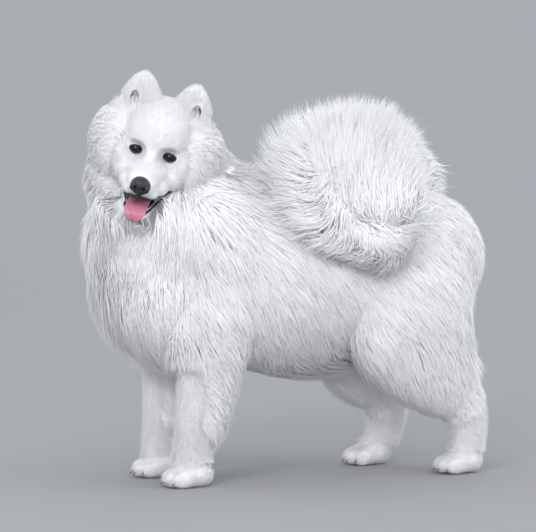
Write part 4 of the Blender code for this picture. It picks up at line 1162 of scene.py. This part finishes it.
def plume_rows(roots, normal, station, chance, gather):
    """The tail's tufts run out from the hub to the rim of the plume, a little swept to one
    side: the tip is the hub plus the reach times the cosine and sine of the turn. Those on the
    side of the tail that faces the hub run along it to its tip instead, and the hair in the
    curl fans out over the ring, so that all of it reads as one plume."""
    rows = smooth_rows(TAIL_ROWS, 60)
    index = (station * 59).round().astype(int)
    middle, angle, reach = rows[index, :3], np.radians(rows[index, 5]), rows[index, 6]
    along = unit(np.gradient(rows[:, :3], axis=0))[index]
    n = len(roots)
    heart = in_heart(roots)
    off = roots - FAN_ROOT
    angle = np.where(heart, np.arctan2(off[:, 2], off[:, 1]), angle)
    angle = angle + (chance[:, 1] - 0.5) * 0.20 + draw.normal(0, 0.06, n)
    way = np.stack([np.zeros(n), np.cos(angle), np.sin(angle)], 1)
    sweep = np.stack([np.zeros(n), -np.sin(angle), np.cos(angle)], 1)
    side = (roots - middle)[:, 0]

    far = reach * draw.uniform(0.45, 1.0, n) ** 0.5 * (0.93 + 0.11 * chance[:, 0])
    hub = CURL_HUB + np.stack([middle[:, 0], np.zeros(n), np.zeros(n)], 1)
    tip = hub + way * far[:, None]
    tip[:, 0] += side * 1.6 + (chance[:, 3] - 0.5) * 0.02
    tip += gather * 0.6
    inner = step(0.30, -0.25, (normal * way).sum(1))[:, None]
    lying = roots + along * 0.060 + way * 0.030 + normal * (0.012 + 0.012 * chance[:, 2:3])
    lying += normal * draw.uniform(-0.006, 0.008, (n, 1))
    tip = tip * (1 - inner) + lying * inner

    loose = (draw.random(n) < LOOSE_SHARE)[:, None]
    fan_way = np.where(loose, unit(way + draw.normal(0, 0.5, (n, 3))), way)
    fan = roots + fan_way * draw.uniform(0.060, 0.105, (n, 1))
    fan += normal * draw.uniform(0.010, 0.030, (n, 1))
    tip[heart] = fan[heart]

    half_way = roots * 0.5 + tip * 0.5
    bend = 0.010 + 0.008 * chance[:, 2]
    half_way += sweep * bend[:, None] * (1 - inner) + normal * (0.010 + 0.006 * inner)
    half_way[:, 0] += np.where(heart, 0.0, side * 0.25)
    shown = unit(normal * 0.6 + np.sign(side)[:, None] * np.array((0.25, 0, 0)) + way * 0.6)
    shown[heart] = unit(normal[heart] + way[heart] * 0.3)
    shade = np.stack([normal, shown, unit(shown + way * 0.6)], 1)
    return np.stack([roots - normal * ROOT_DEPTH, half_way, tip], 1), shade


# The faces of a tall tuft, five points, and of a short one, four
TALL_FACES = np.array(((2, 0, 1), (3, 0, 2), (1, 0, 3), (1, 4, 2), (2, 4, 3), (3, 4, 1)))
SHORT_FACES = np.array(((0, 1, 2), (0, 3, 1), (1, 3, 2), (2, 3, 0)))
# Where a tuft's corners lie in its patch of the map
TALL_PATCH = np.array(((0, -0.5), (-0.5, 0), (0, 0), (0.5, 0), (0, 0.5))) * PATCH
SHORT_PATCH = np.array(((-0.5, -0.5), (0, -0.5), (0.5, -0.5), (0, 0.5))) * PATCH


def coat_piece(name, tall, short, finish):
    """One piece of the coat from its tall and its short tufts: points, leans and places in the
    map. Its shading leans to the whole coat's, not to each side of each tuft."""
    points, leans, lay, faces, first = [], [], [], [], 0
    for tufts, pattern, patch in (
        (tall, TALL_FACES, TALL_PATCH),
        (short, SHORT_FACES, SHORT_PATCH),
    ):
        count, corners = len(tufts[0]), len(patch)
        points.append(tufts[0].reshape(-1, 3))
        leans.append(tufts[1].reshape(-1, 3))
        lay.append((tufts[2][:, None] + patch[None]).reshape(-1, 2))
        starts = first + np.arange(count) * corners
        faces.append((pattern[None] + starts[:, None, None]).reshape(-1, 3))
        first += count * corners
    piece = mesh_of(name, [(np.vstack(points), np.zeros((0, 4), int), np.vstack(faces))])
    corners = np.empty(len(piece.data.loops), np.int32)
    piece.data.loops.foreach_get("vertex_index", corners)
    layer = piece.data.uv_layers.new(name="OFBake")
    layer.uv.foreach_set("vector", np.vstack(lay)[corners].astype(np.float32).ravel())
    # A side that is turned away from the coat's shading keeps its own
    own = np.empty(len(piece.data.polygons) * 3, np.float32)
    piece.data.polygons.foreach_get("normal", own)
    own = np.repeat(own.reshape(-1, 3), 3, axis=0)
    shown = np.vstack(leans)[corners]
    turned = (shown * own).sum(1, keepdims=True) < TURNED_AWAY
    piece.data.normals_split_custom_set(np.where(turned, own, shown))
    return settled(piece, finish)


def coat_pieces(tall, short, finishes):
    """The coat of each part, cut from nose to tail into pieces of few enough triangles."""
    for k, name in enumerate(KINDS):
        of_part = [np.flatnonzero(tufts[3] == k) for tufts in (tall, short)]
        cost = len(of_part[0]) * TALL_TRIANGLES + len(of_part[1]) * SHORT_TRIANGLES
        parts = max(1, math.ceil(cost / PIECE_TRIANGLES))
        split = []
        for tufts, these in zip((tall, short), of_part):
            these = these[np.argsort(tufts[0][these, 0, 1], kind="stable")]
            split.append([
                tuple(values[share] for values in tufts[:3])
                for share in np.array_split(these, parts)
            ])
        for i in range(parts):
            title = f"coat_{name}" if parts == 1 else f"coat_{name}_{i + 1}"
            coat_piece(title, split[0][i], split[1][i], finishes[k])


# Finishes
class Link:
    """A socket in a material, on which products are written as plain expressions."""

    def __init__(self, maker, socket):
        self.maker, self.socket = maker, socket

    def __mul__(self, other):
        return self.maker.node("ShaderNodeMath", {"operation": "MULTIPLY"}, {0: self, 1: other})

    def __rmul__(self, other):
        return self.maker.node("ShaderNodeMath", {"operation": "MULTIPLY"}, {0: other, 1: self})


class Finish:
    """A material with one shader, and the one way that its nodes are made."""

    def __init__(self, name, roughness, specular):
        self.material = bpy.data.materials.new(name)
        self.material.use_nodes = True
        self.tree = self.material.node_tree
        self.shader = self.tree.nodes["Principled BSDF"]
        self.shader.inputs["Roughness"].default_value = roughness
        self.shader.inputs["Specular IOR Level"].default_value = specular

    def node(self, kind, settings, values, out=0):
        """A node of that type, its settings set first, then its sockets' values or links."""
        made = self.tree.nodes.new(kind)
        for key, value in settings.items():
            setattr(made, key, value)
        for key, value in values.items():
            self.set(made.inputs[key], value)
        return Link(self, made.outputs[out])

    def set(self, socket, value):
        """Links the socket to a value worked out by nodes, or sets it to a plain one."""
        if isinstance(value, Link):
            self.tree.links.new(value.socket, socket)
        else:
            socket.default_value = value

    def place(self):
        """The place on the piece, in its own coordinates."""
        return self.node("ShaderNodeTexCoord", {}, {}, "Object")

    def mark(self, name):
        """A number that the piece holds at each of its points."""
        return self.node("ShaderNodeAttribute", {"attribute_name": name}, {}, "Fac")

    def noise(self, scale, detail=3.0):
        """A soft random drift from 0 to 1, with that many waves to a metre."""
        values = {"Vector": self.place(), "Scale": scale, "Detail": detail}
        return self.node("ShaderNodeTexNoise", {}, values, "Fac")

    def mix(self, share, one, two):
        """The first colour, with that share of the second in its stead."""
        return self.node("ShaderNodeMix", {"data_type": "RGBA"}, {0: share, 6: one, 7: two}, 2)

    def clamped(self, value, low, high):
        """Zero before low, one past high, and a smooth rise between them."""
        ranges = {"Value": value, "From Min": low, "From Max": high}
        return self.node("ShaderNodeMapRange", {"interpolation_type": "SMOOTHSTEP"}, ranges)

    def bump(self, height, strength, distance):
        """Makes the surface look raised by a height from 0 to 1, times the distance."""
        values = {"Height": height, "Strength": strength, "Distance": distance}
        self.set(self.shader.inputs["Normal"], self.node("ShaderNodeBump", {}, values, "Normal"))

    def colour(self, value):
        """Sets the colour, and gives back the finished material."""
        self.set(self.shader.inputs["Base Color"], value)
        return self.material


WHITE = (0.965, 0.965, 0.975, 1)
# A greyer white for the short fur of the head and ears and for the skin: painted shade, standing
# in for the self-shadow of the long coat
SHADED_FACE_WHITE = (0.845, 0.845, 0.865, 1)
SHADE = (0.89, 0.89, 0.91, 1)
BLACK = (0.012, 0.012, 0.014, 1)
# Painted shade in the cups of the ears, where their openings lie in shadow
EAR_CUP_SHADE = (0.07, 0.06, 0.055, 1)
NOSE_BLACKS = (0.012, 0.012, 0.014, 1), (0.035, 0.034, 0.038, 1)
RIM_BLACKS = (0.006, 0.006, 0.007, 1), (0.022, 0.020, 0.022, 1)
PUPIL = (0.002, 0.002, 0.002, 1)
IRIS = (0.017, 0.009, 0.006, 1)
EYE_EDGE = (0.008, 0.006, 0.006, 1)
TONGUE_PINKS = (0.50, 0.145, 0.235, 1), (0.62, 0.25, 0.345, 1)
CLAW_HORNS = (0.16, 0.13, 0.11, 1), (0.36, 0.31, 0.27, 1)
FLOOR_GREY = (0.36, 0.365, 0.375, 1)


def coat_finish(name, white):
    """White, with a faint cooler or warmer drift from place to place."""
    f = Finish(name, 0.72, 0.25)
    patches = f.clamped(f.noise(9.0), 0.35, 0.70)
    strands = f.clamped(f.noise(260.0, 2.0), 0.42, 0.68)
    fur = f.mix(patches * 0.55, white, SHADE)
    return f.colour(f.mix(strands * 0.20, fur, SHADE))


def skin_finish():
    """Short white fur, greyed as painted shade, black at the lips and lids, painted shade in the
    ears' cups, by its own marks.
    """
    f = Finish("skin and short fur", 0.80, 0.2)
    dark, cup = f.mark("dark"), f.mark("cup")
    fur = f.mix(f.clamped(f.noise(40.0), 0.3, 0.7), SHADED_FACE_WHITE, SHADE)
    f.bump(f.noise(420.0, 4.0), 0.35, 0.0012)
    # The cup mark paints shade into the ears' cups
    return f.colour(f.mix(dark, f.mix(cup, fur, EAR_CUP_SHADE), BLACK))


def leather_finish():
    """Black, in small raised cells."""
    f = Finish("nose leather", 0.42, 0.45)
    values = {"Vector": f.place(), "Scale": 900.0}
    f.bump(f.node("ShaderNodeTexVoronoi", {}, values, "Distance"), 0.5, 0.0005)
    return f.colour(f.mix(f.noise(120.0), *NOSE_BLACKS))


def rim_finish():
    """Moist black skin, a little uneven."""
    f = Finish("black lids and lips", 0.38, 0.5)
    f.bump(f.noise(500.0), 0.3, 0.0006)
    return f.colour(f.mix(f.noise(90.0), *RIM_BLACKS))


def eye_finish():
    """A dark brown iris round a black pupil, by the turn away from the eye's own axis."""
    f = Finish("dark eye", 0.04, 0.45)
    ring = f.mark("ring")
    iris = f.mix(f.clamped(ring, 0.30, 0.36), PUPIL, IRIS)
    return f.colour(f.mix(f.clamped(ring, 0.62, 0.74), iris, EYE_EDGE))


def tongue_finish():
    """Moist pink, drifting from a deeper to a paler one, with fine buds."""
    f = Finish("pink tongue", 0.36, 0.5)
    f.bump(f.noise(700.0, 2.0), 0.4, 0.0006)
    return f.colour(f.mix(f.noise(60.0), *TONGUE_PINKS))


def claw_finish():
    """Brown horn, drifting from dark to pale."""
    f = Finish("horn of the claws", 0.35, 0.5)
    return f.colour(f.mix(f.noise(150.0), *CLAW_HORNS))


# Pieces
def placed(name, shapes, finish, nodes=(), in_the_head=True):
    """A finished piece from shapes told in the head's frame or in the dog's."""
    if in_the_head:
        shapes = [(in_head(p), q, t) for p, q, t in shapes]
    shapes = [(p + DOG_SHIFT, q, t) for p, q, t in shapes]
    piece = mesh_of(name, shapes)
    return settled(piece, finish, nodes)


def settled(piece, finish, nodes=()):
    """Gives the piece its finish. It rides on the body and stands for those nodes."""
    piece.data.materials.clear()
    piece.data.materials.append(finish)
    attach(piece, "root")
    if nodes:
        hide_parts(*nodes)
    return piece


def marked(piece, name, values):
    """Keeps a number at each of the piece's points, for its finish."""
    layer = piece.data.attributes.new(name, "FLOAT", "POINT")
    layer.data.foreach_set("value", values.astype(np.float32))


EYE_TURN = 5
EYE_FRONT = 1.045


def eye_piece(name, side, finish):
    """An eyeball whose rings run round the way that it looks: its radius times the sine of
    the fall and of the turn, and a little more where the fall is small, at the clear front."""
    rings, sides = 48, 48
    fall = np.linspace(0, math.pi, rings + 2)[1:-1, None]
    spin = np.linspace(0, math.tau, sides, endpoint=False)[None]
    reach = EYE_RADIUS * (1 + (EYE_FRONT - 1) * np.exp(-((fall / 0.55) ** 2)))
    local = np.stack([
        reach * np.sin(fall) * np.cos(spin),
        -reach * np.cos(fall) + 0 * spin,
        -reach * np.sin(fall) * np.sin(spin),
    ], -1)
    look = np.array(Matrix.Rotation(math.radians(EYE_TURN), 3, "Z"))
    middle = np.array((side * EYE_APART, EYE_BACK, 0))
    front = look @ np.array((0, -EYE_RADIUS * EYE_FRONT, 0)) + middle
    rear = look @ np.array((0, EYE_RADIUS, 0)) + middle
    shape = closed_grid(local @ look.T + middle, front, rear)
    piece = placed(name, [shape], finish, [name])
    marked(piece, "ring", np.concatenate([np.repeat(fall[:, 0], sides), [0.0, math.pi]]))
    return piece


def lid_curve(side):
    """The lids' edge: an almond with pointed corners, a cosine wide and a sharpened sine tall,
    drawn on a ball just outside the eye."""
    turn = np.linspace(0, math.tau, 48, endpoint=False)
    wide = EYE_OPENING[0] + 0.0010
    tall = EYE_OPENING[1] + 0.0006
    x = wide * np.cos(turn)
    z = tall * np.sin(turn) * np.abs(np.sin(turn)) ** 0.25
    reach = EYE_RADIUS + 0.0010
    y = EYE_BACK - np.sqrt(np.maximum(reach**2 - x**2 - z**2, 0.0))
    return np.stack([side * EYE_APART + x, y, z], -1)


def lip_shape(skin, half):
    """A lip's edge: a cord that thins to the corners of the mouth, where it lies on the skin."""
    points = np.array(both_sides(half))
    drawn = to_head(on_skin(skin, in_head(points)))
    share = step(0.024, 0.036, np.abs(points[:, 0]))[:, None]
    points = points * (1 - share) + drawn * share
    # The right corner of the mouth lies deeper, under the fur
    points[:, 0] *= 1 - 0.09 * step(-0.022, -0.036, points[:, 0])
    radius = LIP_THICKNESS * (1 - 0.5 * step(0.020, 0.055, np.abs(points[:, 0])))
    rows = [tuple(p) + (r, r) for p, r in zip(points, radius)]
    return tube(rows, side=(0, 0.3, 1), count=70, sides=12)


def nose_piece(finish):
    """The leather of the nose: four balls melted into one, with two nostrils, the slit beside
    each, and the line down its middle cut in."""
    shapes = [ball((0, -0.097, -0.044), (0.0180, 0.0150, 0.0150))]
    for side in (1, -1):
        shapes.append(ball((side * 0.0105, -0.100, -0.0490), (0.0095, 0.0110, 0.0090)))
    shapes.append(ball((0, -0.098, -0.056), (0.0060, 0.0085, 0.0070)))
    nose = melted(mesh_of("nose", shapes), *NOSE_MELT)
    for side in (1, -1):
        hole = ball((side * 0.0090, -0.1110, -0.0475), (0.0034, 0.0080, 0.0036), (0, 0, side * 25))
        slit = ball(
            (side * 0.0155, -0.1060, -0.0520), (0.0042, 0.0060, 0.0014),
            (0, side * 25, side * 20),
        )
        boolean(nose, mesh_of("hole", [hole]), "DIFFERENCE")
        boolean(nose, mesh_of("slit", [slit]), "DIFFERENCE")
    line = ball((0, -0.1135, -0.0530), (0.0006, 0.0040, 0.0100))
    boolean(nose, mesh_of("line", [line]), "DIFFERENCE")
    put_points(nose, in_head(coordinates(nose.data)) + DOG_SHIFT)
    nose.name = "nose_leather"
    return settled(nose, finish, ["nose"])


GROOVE_DEPTH = 0.0028
GROOVE_WIDTH = 0.0035
TONGUE_BEND = (-0.096, -0.080)


def tongue_piece(finish):
    """The tongue, with a groove along its middle. The groove's depth falls off as a bell curve
    to both sides, downward where the tongue lies flat and inward where it hangs."""
    points, quads, thirds = tube(TONGUE, count=60, sides=48)
    groove = GROOVE_DEPTH * np.exp(-((points[:, 0] / GROOVE_WIDTH) ** 2))
    points[:, 2] -= groove * step(*TONGUE_BEND, points[:, 2])
    points[:, 1] += groove * (1 - step(*TONGUE_BEND, points[:, 2]))
    return placed("tongue_flesh", [(points, quads, thirds)], finish, ["tongue"])


def claw_shapes():
    """A claw is a cord that bends down and tapers to its tip. Four stand on each paw."""
    shapes = []
    for x, y in PAWS:
        for across, back in TOES:
            root = np.array((x + across * TOE_SPREAD, y - 0.043 + back, 0.0115))
            rows = [
                tuple(root) + (0.0024, 0.0030),
                tuple(root + (0, -0.004, -0.0010)) + (0.0021, 0.0025),
                tuple(root + (0, -0.0075, -0.0042)) + (0.0014, 0.0016),
                tuple(root + (0, -0.0090, -0.0072)) + (0.0005, 0.0006),
            ]
            shapes.append(tube(rows, count=10, sides=10))
    return shapes


# Nodes that have a piece of their own. The skin stands for all the others
OWN_NODES = ("nose", "tongue", "eye_left", "eye_right")
FACE_REACH = 0.17


def build_dog():
    """The skin, the pieces set in it, and the coat on it."""
    skin = skin_of_all()
    nodes = [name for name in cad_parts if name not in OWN_NODES]
    settled(skin, skin_finish(), nodes)
    local = to_head(coordinates(skin.data) - DOG_SHIFT)
    near = (np.abs(local) < FACE_REACH).all(1)
    marked(skin, "dark", np.where(near, dark_at(local), 0.0))
    # The cup mark is where the finish paints shade into the ears' cups
    marked(skin, "cup", np.where(near, cup_at(local), 0.0))

    iris, rim = eye_finish(), rim_finish()
    eye_piece("eye_left", 1, iris)
    eye_piece("eye_right", -1, iris)
    lids = [cord(lid_curve(side), LID_THICKNESS) for side in (1, -1)]
    placed("lids", lids, rim)
    lips = [lip_shape(skin, UPPER_LIP), lip_shape(skin, LOWER_LIP)]
    placed("lips", lips, rim)
    nose_piece(leather_finish())
    tongue_piece(tongue_finish())
    placed("claws", claw_shapes(), claw_finish(), in_the_head=False)

    long_coat = coat_finish("white coat", WHITE)
    # The head and the ears take the greyer white, which is painted shade
    shaded_short_coat = coat_finish("short white coat", SHADED_FACE_WHITE)
    on_head = (HEAD_KIND,) + EAR_KINDS
    finishes = [shaded_short_coat if k in on_head else long_coat for k in range(len(KINDS))]
    coat_pieces(*coat_of(skin), finishes)


# Studio
LIGHT_AIM = (0, 0, 0.4)
SUN_WIDTH = math.radians(70)
# Soft lights from far off: where each comes from, its power and its tint
SUNS = (
    ("top", (0.6, -0.5, 3.6), 0.68, (1.0, 0.99, 0.97)),
    ("front", (3.7, -1.4, 0.9), 1.92, (0.99, 0.99, 1.0)),
    ("side", (2.0, 3.6, 1.5), 1.46, (0.97, 0.98, 1.0)),
    ("rear", (-2.6, 3.0, 1.8), 0.80, (0.97, 0.98, 1.0)),
    ("far", (-3.0, -2.6, 1.8), 0.80, (0.97, 0.98, 1.0)),
)
KEY_PLACE = (2.3, -2.3, 2.1)
KEY_POWER = 29
KEY_SIZE = 0.7
SKY = (0.40, 0.42, 0.45, 1)
FLOOR_RADIUS = 14
# The camera stands where the photo was taken from: its turn from the front and its height in
# degrees, its distance, how far its aim is to the right and up, and its focal length and the
# width of the picture in pixels
CAMERA_TURN = 68.9772
CAMERA_HEIGHT = 2.0169
CAMERA_DISTANCE = 4.0
AIM_RIGHT = -0.0122
AIM_UP = 0.4373
FOCAL_PIXELS = 1925.098
PICTURE_PIXELS = 536.0
SENSOR = 36.0


def build_floor():
    """A wide pale disc, its rim at the radius times the cosine and the sine of the turn."""
    turn = np.linspace(0, math.tau, 64, endpoint=False)
    rim = FLOOR_RADIUS * np.stack([np.cos(turn), np.sin(turn), 0 * turn], -1)
    mesh = bpy.data.meshes.new("floor")
    mesh.from_pydata([tuple(p) for p in rim], [], [tuple(range(len(rim)))])
    floor = linked(bpy.data.objects.new("floor", mesh))
    floor.data.materials.append(Finish("pale floor", 0.85, 0.1).colour(FLOOR_GREY))


def add_light(name, kind, place, power, **settings):
    """A light at that place, turned to the dog."""
    data = bpy.data.lights.new(name, kind)
    data.energy = power
    for key, value in settings.items():
        setattr(data, key, value)
    light = linked(bpy.data.objects.new(name, data))
    light.location = place
    aim = Vector(LIGHT_AIM) - Vector(place)
    light.rotation_euler = aim.to_track_quat("-Z", "Y").to_euler()


def build_lights():
    """A dim sky, five wide soft suns, and one nearer light that models the head and chest."""
    world = bpy.data.worlds.new("studio")
    bpy.context.scene.world = world
    world.use_nodes = True
    sky = world.node_tree.nodes["Background"]
    sky.inputs["Color"].default_value = SKY
    sky.inputs["Strength"].default_value = 1.0
    for name, place, power, tint in SUNS:
        add_light(name, "SUN", place, power, angle=SUN_WIDTH, color=tint)
    add_light("key", "AREA", KEY_PLACE, KEY_POWER, shape="DISK", size=KEY_SIZE)


def build_camera():
    """The camera looks back along the line that its turn and its height give."""
    turn, height = math.radians(CAMERA_TURN), math.radians(CAMERA_HEIGHT)
    right = Vector((math.cos(turn), math.sin(turn), 0))
    ahead = Vector((math.sin(turn), -math.cos(turn), 0))
    back = ahead * math.cos(height) + Vector((0, 0, math.sin(height)))
    target = right * AIM_RIGHT + Vector((0, 0, AIM_UP)) + Vector(DOG_SHIFT)
    data = bpy.data.cameras.new("camera")
    data.sensor_width = SENSOR
    data.lens = SENSOR * FOCAL_PIXELS / PICTURE_PIXELS
    camera = linked(bpy.data.objects.new("camera", data))
    turned = Matrix((right, back.cross(right), back)).transposed().to_4x4()
    camera.matrix_world = Matrix.Translation(target + back * CAMERA_DISTANCE) @ turned
    bpy.context.scene.camera = camera
    bpy.context.scene.view_settings.view_transform = "Standard"


build_dog()
build_floor()
build_lights()
build_camera()
